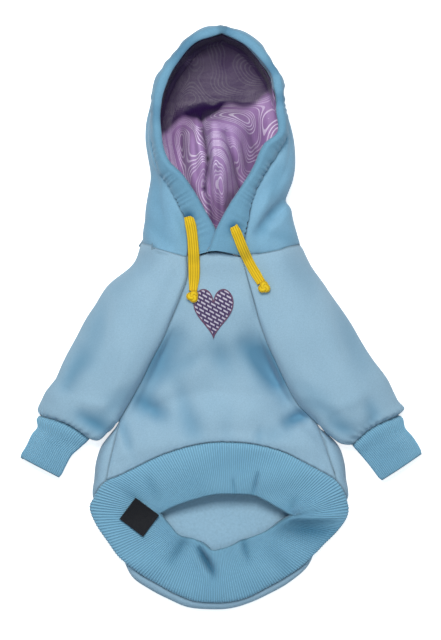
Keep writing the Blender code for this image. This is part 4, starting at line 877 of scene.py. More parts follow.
def hood_lean(side, along, w):
    """Outward normals of the hood at these rows and columns, from close neighbours on it."""
    step = 1e-3
    a = np.asarray(along)
    b = np.asarray(w)
    da = hood_grid(side, np.minimum(a + step, 0.5), b) - hood_grid(side, np.maximum(a - step, 0), b)
    db = hood_grid(side, a, np.minimum(b + step, 1)) - hood_grid(side, a, np.maximum(b - step, 0))
    return unit(np.cross(da, db)) * (-side)


neck_columns = np.interp(turns, *NECK_TURNS)
hood_columns = np.concatenate((neck_columns, np.linspace(NECK_END, 1, 10)[1:]))
hood_rows = np.linspace(0, 0.5, 101)
halves = []
for side in (LEFT, RIGHT):
    grid = hood_grid(side, hood_rows, hood_columns)
    inside = smooth(hood_rows / 0.03)[:, None] * smooth(hood_columns / 0.06)[None]
    folded = creases(grid, HOOD_CREASES)
    rise = folded + ripple(grid, length=0.05, height=0.0009, seed=23)
    rise = rise * inside * smooth(grid[..., 2] / 0.012) * smooth((0.5 - hood_rows)[:, None] / 0.04)
    grid += hood_lean(side, hood_rows, hood_columns) * rise[..., None]
    halves.append(np.dstack((grid, folded)))
halves = np.concatenate((halves[0], halves[1][-2::-1]))
panels["hood"] = {
    "sheet": sheet(halves[..., :3], flip=True, fold=halves[..., 3]), "wall": FLEECE,
    "material": "hood", "flat": (0.26, 0.24), "area": 0.046, "held": "laid", "rests_on": ("floor",),
}

# A thin satin lining with a printed pattern of wavy lines hangs loose inside the hood and has
# slid up into a bunch behind the neck. It is sewn in only round the face opening.
LINING_HUMP = 0.034  # how high the lining bunches up behind the neck
SATIN = 0.001  # the lining's thickness
LINING_GAP = 0.0017  # the lining hangs a little free of the wall

# How high the lining bunches along the middle of the hood's back, from the neck to the crown
HUMP = columns(
    "up high wide",
    (0, 0.06, 0.55), (0.064, 0.35, 0.42), (0.155, 0.70, 0.38), (0.268, 0.91, 0.48),
    (0.382, 1, 0.58), (0.495, 1, 0.66), (0.568, 0.85, 0.66), (0.605, 0.50, 0.66),
    (0.65, 0.09, 0.66), (0.714, 0, 0.66), (1, 0, 0.66),
)

LINING_FOLDS = columns(
    "from_across from_up to_across to_up wide rise",
    (-0.26, 0.60, -0.16, 0.40, 0.06, -0.09), (-0.16, 0.40, -0.08, 0.12, 0.05, -0.08),
    (0.08, 0.52, 0.27, 0.27, 0.06, -0.06), (-0.52, 0.53, -0.51, 0.34, 0.06, -0.05),
    (-0.40, 0.50, -0.38, 0.30, 0.06, 0.04), (-0.42, 0.84, -0.15, 0.87, 0.06, 0.03),
)

CROWN_SHADE = 0.0046  # painted shade: the crown of the hood is darkened as much as a fold of this depth
CROWN_RIDGE = 0.112  # how far up the middle line the ridge before the crown lies
LINING_CREASES = columns(
    "from_across from_down to_across to_down wide rise",
    (-16, 111, -10, 76, 2.6, -4.2), (-10, 76, -13, 50, 2.6, -4.0), (-13, 50, -4, 15, 3, -3.2),
    (-20, 108, -17, 80, 2.4, 2.2), (-7, 104, -4, 70, 2.4, 2.0), (-36, 84, -30, 52, 2.6, 1.8),
    (-32, 101, -31, 63, 3, -2.2), (-25, 93, -24, 54, 3.2, 1.8), (5, 97, 17, 50, 3, -2.4),
    (14, 88, 24, 52, 3, 1.8), (-30, 159, -10, 163, 3, 1.6), (-22, 60, -12, 30, 3, 1.6),
    (24, 100, 32, 74, 3, -1.8), (-40, 96, -40, 66, 3, -1.4), (0, 60, 4, 26, 3, 1.8),
    (8, 45, 2, 18, 2.4, -1.8), (-4, 108, 0, 84, 4, 1.6), (-24, 104, -5, 107, 3, 2.2),
    (-5, 107, 13, 112, 3, 2.0), (13, 112, 27, 119, 3, 1.6), (-24, 116, -5, 119, 5, -3.0),
    (-5, 119, 12, 123, 5, -1.6), (-2, 70, 0, 22, 2.6, -2.4), (14, 50, 6, 22, 3, -2.0),
)


def lining_grid(side, along, w):
    """The lining: just inside the hood's wall, bunched up behind the neck."""
    grid = hood_grid(side, along, w)
    grid = grid - hood_lean(side, along, w) * (FLEECE + LINING_GAP)
    grid[..., 2] = np.maximum(grid[..., 2], FLEECE + LINING_GAP)
    up = grid[..., 1] / HOOD_HEIGHT
    shape = through(HUMP["up"], np.stack((HUMP["high"], HUMP["wide"]), -1), up.reshape(-1))
    high, wide = shape[:, 0].reshape(up.shape), shape[:, 1].reshape(up.shape)
    middle = -0.08 + 0.10 * smooth((up - 0.2) / 0.5)
    off = (grid[..., 0] / (HOOD_WIDTH / 2) - middle) / wide
    bell = np.cos(np.clip(off, -1, 1) * math.pi / 2) ** 1.3
    on_floor = smooth((np.asarray(w) - 0.56) / 0.2)[None, :]
    rise = hood_rise(grid, LINING_FOLDS)
    lift = np.maximum(high * bell * LINING_HUMP + rise * np.clip(high + 0.3, 0, 1), 0)
    grid[..., 2] += lift * on_floor
    return grid


lining_rows = np.concatenate(([0.008], hood_rows[hood_rows > 0.012]))
lining_columns = np.sort(np.concatenate((np.linspace(0.015, 0.8, 80), np.linspace(0.81, 1, 34))))
halves = []
for side in (LEFT, RIGHT):
    grid = lining_grid(side, lining_rows, lining_columns)
    loose = smooth((lining_columns - 0.25) / 0.3)[None] * smooth(grid[..., 2] / 0.012)
    folded = loose * creases(grid, LINING_CREASES)
    grid[..., 2] += folded + loose * ripple(grid, length=0.028, height=0.0009, seed=31)
    # Painted shade: past a wavy line before the crown, the lining is darkened as in a fold.
    wave = 0.004 * np.sin(grid[..., 0] * 170 + 0.6) + 0.3 * grid[..., 0]
    crown = smooth((grid[..., 1] - CROWN_RIDGE - wave) / 0.008)
    halves.append(np.dstack((grid, folded - CROWN_SHADE * crown)))
halves = np.concatenate((halves[0], halves[1][-2::-1]))
panels["hood_lining"] = {
    "sheet": sheet(halves[..., :3], flip=True, fold=halves[..., 3]), "wall": SATIN,
    "material": "satin", "flat": (0.26, 0.23), "area": 0.044, "held": "laid", "rests_on": ("hood",),
}

# All panels are cut together, so that two cloths that share a seam sink into it alike. The face
# is a fine jersey and the inside of the fleece is brushed.
SPLIT = Vector((1, 0.37, 0.19))  # any fixed direction that no seam is square to
# Painted shade: the materials darken the cloth down in its folds and beside its seams and rims.
FOLD_SHADE_DEPTH = 0.005  # depth of fold at which the painted shade has turned the colour fully to its shade colour
SEAM_SHADE_WIDTH = 0.0019  # how wide the painted shade beside a seam or rim reaches


def sew(sheets, walls, leans):
    """Gives every sheet its wall. Along a seam both walls lean the same way and stop just
    short of it, and the cloth sinks by SEAM_DIP. leans holds the underarm's (place, way)."""
    rims = [v for bm in sheets.values() for v in bm.verts if v.is_boundary]
    near = KDTree(len(rims))
    for i, v in enumerate(rims):
        near.insert(v.co, i)
    near.balance()
    made = {}
    for name, bm in sheets.items():
        lean, dip = {}, {}
        for v in bm.verts:
            met = near.find_range(v.co, SEAM_GAP) if v.is_boundary else ()
            shared = [rims[i].normal for _, i, _ in met]
            lean[v] = sum(shared, Vector()).normalized() if shared else v.normal.copy()
            for pit, way in leans:
                lean[v] = way if v.is_boundary and (v.co - pit).length < 2 * SEAM_GAP else lean[v]
            v.tag = len(shared) > 1
            dip[v] = near.find(v.co)[2]
        for _ in range(LEAN_ROUNDS):
            eased = {
                v: (lean[v] + sum((lean[e.other_vert(v)] for e in v.link_edges), Vector())).normalized()
                for v in bm.verts if not v.tag
            }
            lean.update(eased)
        closed = bmesh.new()
        flat, new_flat = bm.loops.layers.uv["cloth"], closed.loops.layers.uv.new("cloth")
        seam, fold = closed.verts.layers.float.new("seam"), closed.verts.layers.float.new("fold")
        lifted = bm.verts.layers.float["fold"]
        tops, lows = {}, {}
        for v in bm.verts:
            place = v.co - lean[v] * SEAM_DIP * math.exp(-((dip[v] / SEAM_SOFT) ** 2))
            if v.is_boundary:
                inward = sum((f.calc_center_median() for f in v.link_faces), Vector())
                inward = inward / len(v.link_faces) - v.co
                inward -= lean[v] * inward.dot(lean[v])
                place += inward.normalized() * SEAM_GAP * SEAM_SHARE
            floor_at = max(lean[v].z, 0) * walls[name] - ORIGIN.z
            place.z = max(place.z, floor_at)
            low = place - lean[v] * walls[name]
            tops[v], lows[v] = closed.verts.new(place), closed.verts.new(low)
            # seam and fold are read by the materials, which paint shade beside seams and rims and in folds
            tops[v][seam] = lows[v][seam] = dip[v]
            tops[v][fold] = lows[v][fold] = v[lifted]
        for face in bm.faces:
            spots = [loop[flat].uv for loop in face.loops]
            top = closed.faces.new([tops[v] for v in face.verts])
            low = closed.faces.new([lows[v] for v in reversed(face.verts)])
            low.material_index = 1
            for loop, spot in zip(top.loops, spots):
                loop[new_flat].uv = spot
            for loop, spot in zip(low.loops, spots[::-1]):
                loop[new_flat].uv = spot
        for edge in bm.edges:
            if edge.is_boundary:
                a, b = edge.verts
                spots = {loop.vert: loop[flat].uv for face in edge.link_faces for loop in face.loops}
                if edge.link_loops[0].vert != a:
                    a, b = b, a
                if a.co @ SPLIT < b.co @ SPLIT:
                    ends = ((tops, b), (tops, a), (lows, a)), ((tops, b), (lows, a), (lows, b))
                else:
                    ends = ((tops, a), (lows, a), (lows, b)), ((tops, a), (lows, b), (tops, b))
                for end in ends:
                    face = closed.faces.new([new[old] for new, old in end])
                    for loop, (_, old) in zip(face.loops, end):
                        loop[new_flat].uv = spots[old]
        closed.normal_update()
        made[name] = mesh_of(name, closed)
        made[name].shade_smooth()
    return made


def seam_shade(tree, colour, seam_shade_level, painted_shade_colour):
    """The colour with painted shade: darker beside a seam and at a rim, and turning to the shade colour
    down in a fold.
    """
    painted_shade_amount = ramp(tree, attribute(tree, "fold"), 0.0, -FOLD_SHADE_DEPTH, 0.0, 1.0)
    shaded = blend(tree, painted_shade_amount, colour, srgb(painted_shade_colour))
    near = ramp(tree, attribute(tree, "seam"), 0.0, SEAM_SHADE_WIDTH, seam_shade_level, 1.0, style="SMOOTHERSTEP")
    return scaled(tree, shaded, near)


JERSEY_WALE, JERSEY_COURSE = 0.001, 0.0008
KNIT_COURSE = 0.0009
SATIN_YARN = 0.0005
WAVE_LEVELS, WAVE_GROUP = 92.0, 7  # wavy lines across the print, and how many make a group


def jersey(name, light, dark, painted_shade_colour, nap=False):
    """Sweatshirt fleece: a fine jersey face with wales 1 mm apart, or the brushed inside if nap."""
    made, tree = new_material(name, 0.92, 0.25)
    whole, across, along = places(tree)
    patchy = noise(tree, whole, 38.0, 3.0)
    fuzz = noise(tree, whole, 420.0 if nap else 900.0, 5.0, roughness=0.7)
    speck = ramp(tree, fuzz, 0.25, 0.75, 0.88, 1.1)
    flecked = scaled(tree, blend(tree, patchy, srgb(dark), srgb(light)), speck)
    # painted shade beside seams and rims and down in folds
    colour = seam_shade(tree, flecked, 0.72, painted_shade_colour)
    if nap:
        return finish(made, colour, fuzz, 0.6, 0.0005)
    course = maths(tree, "MULTIPLY", along, 2 * math.pi / JERSEY_COURSE)
    slope = maths(tree, "MULTIPLY_ADD", sine(tree, across, JERSEY_WALE), 1.6, course)
    height = maths(tree, "MULTIPLY_ADD", maths(tree, "SINE", slope), 0.22, fuzz)
    return finish(made, colour, height, 0.45, 0.0003)


def rib_knit(name, light, dark, painted_shade_colour):
    """Rib knit: raised wales RIB_PITCH apart with painted shade in the furrows, and the knit's small loops
    on them.
    """
    made, tree = new_material(name, 0.88, 0.2)
    whole, _, along = places(tree)
    wave = maths(tree, "COSINE", attribute(tree, "rib"))
    ridge = ramp(tree, wave, -0.9, 0.6, 0.0, 1.0, style="SMOOTHSTEP")
    top = blend(tree, noise(tree, whole, 30.0, 3.0), srgb(light), srgb(dark))
    # painted shade: the furrows between the ribs are darker
    colour = blend(tree, ridge, scaled(tree, top, 0.78), top)
    height = maths(tree, "MULTIPLY_ADD", sine(tree, along, KNIT_COURSE), 0.07, ridge)
    height = maths(tree, "MULTIPLY_ADD", noise(tree, whole, 900.0, 4.0), 0.3, height)
    # painted shade beside seams and rims and down in folds
    return finish(made, seam_shade(tree, colour, 0.7, painted_shade_colour), height, 0.5, 0.0005)


def printed_satin(name, light, dark, line_colour, painted_shade_colour):
    """Satin lining with groups of pale wavy lines that run side by side over mauve cloth."""
    made, tree = new_material(name, 0.4, 0.15)
    whole, across, _ = places(tree)
    level = maths(tree, "MULTIPLY", noise(tree, whole, 13.0, 0.6, distortion=0.5), WAVE_LEVELS)
    line = maths(tree, "COMPARE", maths(tree, "FRACT", level), 0.5, 0.17)
    group = maths(tree, "FRACT", maths(tree, "MULTIPLY", level, 1 / WAVE_GROUP))
    group = maths(tree, "LESS_THAN", group, 0.74)
    shown = ramp(tree, noise(tree, whole, 26.0, 1.0), 0.36, 0.56, 0.35, 0.95)
    amount = maths(tree, "MULTIPLY", maths(tree, "MULTIPLY", line, shown), group)
    ground = blend(tree, noise(tree, whole, 30.0, 2.0), srgb(dark), srgb(light))
    # painted shade beside seams and rims and down in folds, over the print
    colour = seam_shade(tree, blend(tree, amount, ground, srgb(line_colour)), 0.8, painted_shade_colour)
    crumple = noise(tree, whole, 90.0, 4.0)
    height = maths(tree, "MULTIPLY_ADD", sine(tree, across, SATIN_YARN), 0.03, crumple)
    return finish(made, colour, height, 0.6, 0.0015)


# The last colour of each is the painted shade colour that the cloth turns to in its folds. The hood and
# casing use darker, bluer copies of the same fleece: painted shade for the hood's sloping sides and for the
# rolled casing.
face = jersey("fleece_jersey", "A1C0D3", "96B8CD", "6597B4")
hood_shaded_face = jersey("fleece_jersey_hood_painted_shade", "8AB6CF", "7FAECA", "4F88A6")
casing_shaded_face = jersey("fleece_jersey_casing_painted_shade", "78A8C2", "6C9CB8", "36688A")
inside_nap = jersey("fleece_brushed", "A0C3D8", "94BAD1", "5A90AE", nap=True)
rib = rib_knit("rib_knit", "8CC0DA", "7EB5D2", "3F7896")
lining_cloth = printed_satin("printed_satin", "B292C4", "9A74AA", "EBDDF4", "26103F")
CLOTHS = {
    "fleece": (face, inside_nap), "hood": (hood_shaded_face, inside_nap),
    "satin": (lining_cloth, lining_cloth),
}
pits = []
for side in (LEFT, RIGHT):
    pit = raglan(side, [1.0])[0]
    ways = unit(np.array((sleeve_row(side, 0.84, [0])[0], side_seam(side, [0.3])[0])) - pit)
    pits.append((Vector(pit), Vector(ways.sum(0)).normalized()))


def place_piece(name, mesh, nodes):
    """Moves the mesh to the frame's own origin and makes it the piece that replaces these nodes."""
    mesh.transform(Matrix.Translation(ORIGIN))
    piece = add_object(name, mesh)
    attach(piece, "root")
    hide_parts(*nodes)
    return piece


def rib_relief(knit):
    """Geometry Nodes that raise a knit's ribs along its normals, and fade them out at its seams."""
    tree = bpy.data.node_groups.new("rib_relief", "GeometryNodeTree")
    tree.interface.new_socket("Geometry", in_out="INPUT", socket_type="NodeSocketGeometry")
    tree.interface.new_socket("Rib height", in_out="INPUT", socket_type="NodeSocketFloat")
    tree.interface.new_socket("Geometry", in_out="OUTPUT", socket_type="NodeSocketGeometry")
    start, end = tree.nodes.new("NodeGroupInput"), tree.nodes.new("NodeGroupOutput")
    turn, edge = (
        put(tree, "GeometryNodeInputNamedAttribute", {"Name": n}, data_type="FLOAT").outputs[0]
        for n in ("rib", "seam")
    )
    keep = ramp(tree, edge, 0.0003, 0.0030, 0.0, 1.0)
    lift = maths(tree, "MULTIPLY", maths(tree, "COSINE", turn), keep)
    lift = maths(tree, "MULTIPLY", lift, start.outputs["Rib height"])
    shift = scaled(tree, put(tree, "GeometryNodeInputNormal").outputs[0], lift)
    moved = put(tree, "GeometryNodeSetPosition", {"Geometry": start.outputs[0], "Offset": shift}).outputs[0]
    whole = put(tree, "GeometryNodeRealizeInstances", {"Geometry": moved}).outputs[0]
    knitted = put(tree, "GeometryNodeSetMaterial", {"Geometry": whole, "Material": knit}).outputs[0]
    tree.links.new(knitted, end.inputs[0])
    return tree


def baked(thing, name):
    """The mesh that the thing's modifiers make of it. The thing itself goes."""
    graph = bpy.context.evaluated_depsgraph_get()
    made = bpy.data.meshes.new_from_object(thing.evaluated_get(graph))
    bpy.data.objects.remove(thing, do_unlink=True)
    made.name = name
    made.shade_smooth()
    return made


def ribbed(name, mesh, tree):
    """The piece with a whole number of ribs across its length, cut fine enough to show them."""
    bm = bmesh.new()
    bm.from_mesh(mesh)
    flat = bm.loops.layers.uv["cloth"]
    across = set()
    for face in bm.faces:
        for loop in face.loops:
            run = loop.link_loop_next[flat].uv - loop[flat].uv
            if abs(run.x) > abs(run.y):
                across.add(loop.edge)
    bmesh.ops.subdivide_edges(bm, edges=list(across), cuts=RIB_CUTS)
    length = max(loop[flat].uv.x for face in bm.faces for loop in face.loops)
    turns_per_metre = 2 * math.pi * round(length / RIB_PITCH) / length
    rib = bm.verts.layers.float.new("rib")
    for v in bm.verts:
        v[rib] = v.link_loops[0][flat].uv.x * turns_per_metre
    thing = add_object(name, mesh_of(name, bm))
    relief = thing.modifiers.new("ribs", "NODES")
    relief.node_group = tree
    inputs = {i.name: i.identifier for i in tree.interface.items_tree if i.in_out == "INPUT"}
    relief[inputs["Rib height"]] = RIB_HEIGHT
    return baked(thing, name)


def rolled(name, rings, spot, paint, mark=None, closed=False):
    """A skin over rings of points. spot gives the UV of a point by the numbers of its ring and
    place, and mark its distance from a seam and its fold value, from which materials paint shade."""
    bm = bmesh.new()
    flat = bm.loops.layers.uv.new("cloth")
    layers = [bm.verts.layers.float.new(n) for n in ("seam", "fold")] if mark else ()
    loops = [[bm.verts.new(p) for p in ring] for ring in rings]
    for i, ring in enumerate(loops if mark else ()):
        for j, v in enumerate(ring):
            for layer, value in zip(layers, mark(i, j, v.co)):
                v[layer] = value
    for i, (one, two) in enumerate(zip(loops, loops[1:] + loops[:closed])):
        for j in range(len(one)):
            k = (j + 1) % len(one)
            made = bm.faces.new((one[j], one[k], two[k], two[j]))
            for loop, at in zip(made.loops, ((i, j), (i, j + 1), (i + 1, j + 1), (i + 1, j))):
                loop[flat].uv = spot(*at)
    if not closed:
        bm.faces.new(loops[0])
        bm.faces.new(loops[-1][::-1])
    bmesh.ops.recalc_face_normals(bm, faces=bm.faces)
    mesh = mesh_of(name, bm)
    mesh.shade_smooth()
    mesh.materials.append(paint)
    return mesh


sheets, walls = ({n: p[key] for n, p in panels.items()} for key in ("sheet", "wall"))
sewn = sew(sheets, walls, pits)
cloth, relief_tree = {}, rib_relief(rib)
for name, mesh in sewn.items():
    panel = panels[name]
    if panel["material"] == "rib":
        mesh = ribbed(name, mesh, relief_tree)
    else:
        for cloth_paint in CLOTHS[panel["material"]]:
            mesh.materials.append(cloth_paint)
    cloth[name] = place_piece(name + "_cloth", mesh, (name,))

# The hood's edge is a doubled strip of the same fleece with the drawstring inside, so it is a soft
# round roll. The string gathers it into small puckers, and its ends cross over at the neck.
RIM = 0.0062  # the rolled hood edge
CASING_END = 0.0038  # the same roll where it is sewn to the hood
CASING_PUCKER = 0.0011  # height of its small puckers
CASING_GATHER = 0.0010  # how far it swells between the broad gathers along the crown
CASING_AROUND = 44  # points round the roll
# Where each end of the casing stops on the front neck seam, and how far it lies over the seam
CASING_STOP = {LEFT: (0.52, -0.07), RIGHT: (0.40, 0.07)}
EYELETS = np.array(((-0.0262, 0.0262), (0.0122, 0.0168)))  # where the cord's ends come out
EYELET_REACH, EYELET_SHADE = 0.0052, 0.006  # how far round each, and how deeply, painted shadow darkens the casing
# how much painted shade lies down in the casing's broad gathers
GATHER_SHADE = 0.0022
CASING_SECTION = columns(
    "along out end_out",  # share of the casing's width, shares of the rim and of the seam end
    (0.04, 0.04, 0), (0.15, 0.30, 0), (0.40, 0.78, 0), (0.75, 1, 0), (0.97, 0.95, 0), (1.06, 0.50, 0),
    (1.0, 0.05, 0), (0.75, -0.02, 0), (0.40, -0.05, -0.45), (0.15, 0, -0.95), (0.04, 0, -1),
)


def casing_rings(side, along):
    """Sections of the padded drawstring casing, from the neck to the crown."""
    t = HOOD[side]
    rim = through(t["along"], on_hood(t["rim_across"], t["rim_up"], t["rim_high"]), along)
    share, over = CASING_STOP[side]
    stop = evenly(on_body(**NECK_FRONT), share)[0] + np.array((0, 0, over * BODY_LOFT))
    hold = (1 - smooth(np.asarray(along) / 0.05))[:, None]
    rim = rim * (1 - hold) + stop * hold
    seam = hood_grid(side, along, [0.0])[:, 0]
    normal = hood_lean(side, along, [0.0])[:, 0]
    width = rim - seam
    square = unit(normal - unit(width) * (normal * unit(width)).sum(-1, keepdims=True))
    s = CASING_SECTION
    rings = []
    for a, out, end in zip(s["along"], s["out"], s["end_out"], strict=True):
        tilt = unit(normal + (square - normal) * float(smooth(a / 0.5)))
        ring = seam + width * a + tilt * (out * RIM + end * CASING_END)
        ring[:, 1] = np.maximum(ring[:, 1], neck_y(ring[:, 0]) + 2 * SEAM_GAP)
        rings.append(ring)
    return np.array(rings).transpose(1, 0, 2)


def neck_y(x):
    """How far up the front neck seam lies at each x."""
    front = evenly(on_body(**NECK_FRONT), np.linspace(0, 1, 21))
    return np.interp(x, front[:, 0], front[:, 1])


casing_rows = np.linspace(0, 0.5, 301)
rings = []
for side in (LEFT, RIGHT):
    ring = casing_rings(side, casing_rows)
    count = len(CASING_SECTION["along"])
    around = np.concatenate((ring[:, -3:], ring, ring[:, :3]), axis=1).transpose(1, 0, 2)
    stations = np.linspace(0, count, CASING_AROUND + 1)[:-1]
    fine = through(np.arange(-3, count + 3), around, stations).transpose(1, 0, 2)
    middle = fine.mean(1, keepdims=True)
    phase = casing_rows * 2 * math.pi
    pucker = uneven(phase, 34, 2.5, 9, side) * (0.5 + 0.5 * np.sin(phase * 5 + 1.3))
    pucker = 0.55 * pucker + 0.45 * uneven(phase, 57, 3, 13)
    crowned = smooth((casing_rows - 0.3) / 0.1)
    gather = uneven(phase, 15, 1.7, 4, side) * crowned
    grip = 0.45 + 0.55 * np.cos(np.linspace(0, 2 * math.pi, CASING_AROUND + 1)[:-1])
    keep = smooth(casing_rows / 0.02)[:, None] * smooth((0.5 - casing_rows) / 0.012)[:, None]
    swell = CASING_PUCKER * pucker[:, None] * grip[None] + CASING_GATHER * (gather + crowned)[:, None]
    fine += unit(fine - middle) * (swell * keep)[..., None]
    rings.append(np.dstack((fine, np.repeat(gather[:, None], fine.shape[1], 1))))
rings = np.concatenate((rings[0], rings[1][-2::-1]))
rings, gathers = rings[..., :3], rings[:, 0, 3]
length = run_of(rings.mean(1))


def casing_mark(i, j, place):
    """How far a point of the roll is from its seam or the crown's, and its painted shade round eyelets and
    in gathers.
    """
    from_seam = 0.0042 * min(j, CASING_AROUND - j) / 7
    apart = np.linalg.norm(EYELETS - np.array(place.xy), axis=1).min()
    painted_shade_amount = -EYELET_SHADE * math.exp(-((apart / EYELET_REACH) ** 2)) - GATHER_SHADE * max(-gathers[i], 0)
    return min(from_seam, 0.0008 * abs(i - len(rings) // 2)), painted_shade_amount


# the casing wears the darker copy of the fleece, which is painted shade
mesh = rolled(
    "hood_casing_roll", rings, lambda i, j: (j * 0.001, length[i]), casing_shaded_face, casing_mark
)
casing = place_piece("hood_casing_roll", mesh, ("hood_casing",))

# Both ends of one flat knitted yellow cord, 10 mm wide, with lengthwise ribs. Each comes out of
# the casing, lies over the chest and ends in a knot.
CORD_WIDTH = 0.0096
CORD_THICK = 0.0022
CORD_RIBS = 5
KNOT_LENGTH = 0.0085
KNOT_STRAND = (0.0023, 0.0016)  # half the width and thickness of the cord pulled tight in its knot
KNOT_REACH = np.array((KNOT_LENGTH * 0.38, CORD_WIDTH * 0.33, CORD_THICK * 0.55))
EYELET_SINK = 0.0012  # how far under the rolled edge the cord starts
CORD_TURN, ROUTE_STEPS = 80, 40  # points round the cord and along it
CORD_ROUTE = {  # (x, y) from the eyelet in the casing to the knot
    LEFT: ((-0.0264, 0.0262), (-0.0242, 0.0165), (-0.0226, 0.0020), (-0.0220, -0.0115),
           (-0.0219, -0.0250), (-0.0227, -0.0362)),
    RIGHT: ((0.0110, 0.0190), (0.0141, 0.0120), (0.0196, -0.0015), (0.0260, -0.0145),
            (0.0318, -0.0243), (0.0348, -0.0292)),
}


def tree_of(things):
    """One surface to lay trims on, made of these finished pieces."""
    verts, faces = [], []
    for thing in things:
        faces += [[len(verts) + i for i in p.vertices] for p in thing.data.polygons]
        verts += [v.co - ORIGIN for v in thing.data.vertices]
    return BVHTree.FromPolygons(verts, faces)


def top_at(tree, x, y, otherwise=0.0):
    """How high the surface lies at this place, seen from above."""
    place = tree.ray_cast(Vector((x, y, 1)), Vector((0, 0, -1)))[0]
    return place.z if place is not None else otherwise


def cord_knit(name, light, dark):
    """Flat knitted cotton cord: matt yellow, with small slanting stitches along its ribs and painted shade
    in the grooves between them.
    """
    made, tree = new_material(name, 0.75, 0.2)
    whole, across, along = places(tree)
    bent = maths(tree, "COSINE", maths(tree, "MULTIPLY", across, 2 * math.pi))
    slope = maths(tree, "MULTIPLY_ADD", bent, 1.2, maths(tree, "MULTIPLY", along, 2 * math.pi / 0.0011))
    height = maths(tree, "MULTIPLY_ADD", maths(tree, "SINE", slope), 0.35, bent)
    # painted shade: the low parts between ribs and stitches are darker
    colour = blend(tree, ramp(tree, height, -1.1, 0.4, 0.0, 1.0), srgb(dark), srgb(light))
    height = maths(tree, "MULTIPLY_ADD", noise(tree, whole, 700.0, 4.0), 0.5, height)
    return finish(made, colour, height, 0.5, 0.0003)


def tube(name, path, sections, across, paint):
    """A closed mesh tube through the path. Each row of sections holds (sideways, up) offsets."""
    length = run_of(path)
    upward = unit(np.cross(unit(np.gradient(path, axis=0)), across))
    rings = [
        [p + side_way * a + up_way * b for a, b in section]
        for p, side_way, up_way, section in zip(path, across, upward, sections, strict=True)
    ]

    def spot(i, j):
        return sections[i][j % len(sections[i])][0] * CORD_RIBS / CORD_WIDTH, length[i]

    return rolled(name, rings, spot, paint)


yellow = cord_knit("cord_knit_yellow", "F2CB22", "C49A10")
ground = tree_of([cloth[n] for n in ("belly_panel", "sleeve_left", "sleeve_right", "hood")] + [casing])
turn = np.linspace(0, 2 * math.pi, CORD_TURN + 1)[:-1]
flat_side = np.sign(np.cos(turn)) * np.abs(np.cos(turn)) ** 0.55 * CORD_WIDTH / 2
flat_up = np.sign(np.sin(turn)) * np.abs(np.sin(turn)) ** 0.7 * CORD_THICK / 2
flat_up = flat_up * (0.86 + 0.14 * np.cos(flat_side * 2 * math.pi * CORD_RIBS / CORD_WIDTH))
for side, word in ((LEFT, "left"), (RIGHT, "right")):
    route = evenly(np.array(CORD_ROUTE[side]), np.linspace(0, 1, ROUTE_STEPS))
    across = unit(np.gradient(route, axis=0))[:, ::-1] * np.array((1, -1))
    heights = np.array([
        max(top_at(ground, *(p + a * CORD_WIDTH * s)) for s in (-0.5, -0.25, 0, 0.25, 0.5))
        for p, a in zip(route, across, strict=True)
    ])
    eased = np.array([heights[max(i - 2, 0) : i + 3].max() for i in range(len(heights))])
    eased = np.convolve(np.pad(eased, 2, mode="edge"), np.ones(5) / 5, mode="valid")
    eased = np.maximum(eased, heights) + CORD_THICK / 2 + SEAM_GAP
    share = np.linspace(0, 1, len(route))
    eased -= (CORD_THICK + EYELET_SINK) * (1 - smooth(share / 0.09))  # its start is still in the eyelet
    path = np.column_stack((route, eased))
    waist = 1 - 0.22 * smooth((share - 0.8) / 0.2) - 0.14 * np.sin(math.pi * share) * (side > 0)
    waist -= 0.22 * (1 - smooth(share / 0.14)) + 0.05 * np.sin(share * 9 + side)
    sections = [np.column_stack((flat_side * w, flat_up * (1 + 0.25 * (1 - w)))) for w in waist]
    flat_across = np.column_stack((across, 0 * across[:, 0]))
    line = tube("drawstring_" + word, path, sections, flat_across, yellow)
    cord = place_piece("drawstring_" + word + "_knit", line, ("drawstring_" + word,))

    # The knot: the flat cord turned over itself once and pulled tight
    ahead = unit(route[-1] - route[-3])
    middle = route[-1] + ahead * (KNOT_LENGTH / 2 + SEAM_GAP)
    reach = (-0.4, 0, 0.4)
    under = max(top_at(ground, *(middle + KNOT_LENGTH * np.array((a, b)))) for a in reach for b in reach)
    height = max(under + SEAM_GAP + CORD_THICK * 1.2, eased[-1])
    t = np.linspace(0, 2 * math.pi, 97)
    loop = np.column_stack((np.sin(t) + 2 * np.sin(2 * t), np.cos(t) - 2 * np.cos(2 * t), -np.sin(3 * t)))
    loop = loop / 3 * KNOT_REACH
    plan = loop[:, :1] * ahead + loop[:, 1:2] * np.array((-ahead[1], ahead[0]))
    turned = np.column_stack((plan, loop[:, 2]))
    way = unit(np.gradient(turned, axis=0))
    way[0] = way[-1] = unit(way[0] + way[-1])
    side_way = unit(np.cross(way, np.array((0, 0, 1.0))))
    up_way = np.cross(side_way, way)
    rim = np.linspace(0, 2 * math.pi, 21)[:-1]
    wide, thick = KNOT_STRAND
    rings = [
        [(*middle, height) + p + a * math.cos(r) * wide + b * math.sin(r) * thick for r in rim]
        for p, a, b in zip(turned[:-1], side_way, up_way)
    ]
    mesh = rolled(
        "knot_" + word + "_knit", rings, lambda i, j: (j * 0.2, i * 0.0004), yellow, closed=True
    )
    knot = place_piece("knot_" + word + "_knit", mesh, ("knot_" + word,))
    real = float(run_of(path)[-1]) + KNOT_LENGTH / 2  # into its knot

# The label is folded dark woven tape, bare on both sides. It lies on the ribbed band, where a row
# of stitches at its upper end holds it.
LABEL_LENGTH = 0.0250
LABEL_WIDTH = 0.0228
LABEL_THICK = 0.0010
LABEL_PLACE, LABEL_TILT = np.array((-0.0222, -0.0046)), math.radians(-37)
LABEL_YARN = 0.00035
LABEL_CURL = 0.0006  # how far its two ends curl up
LABEL_STEPS = 25

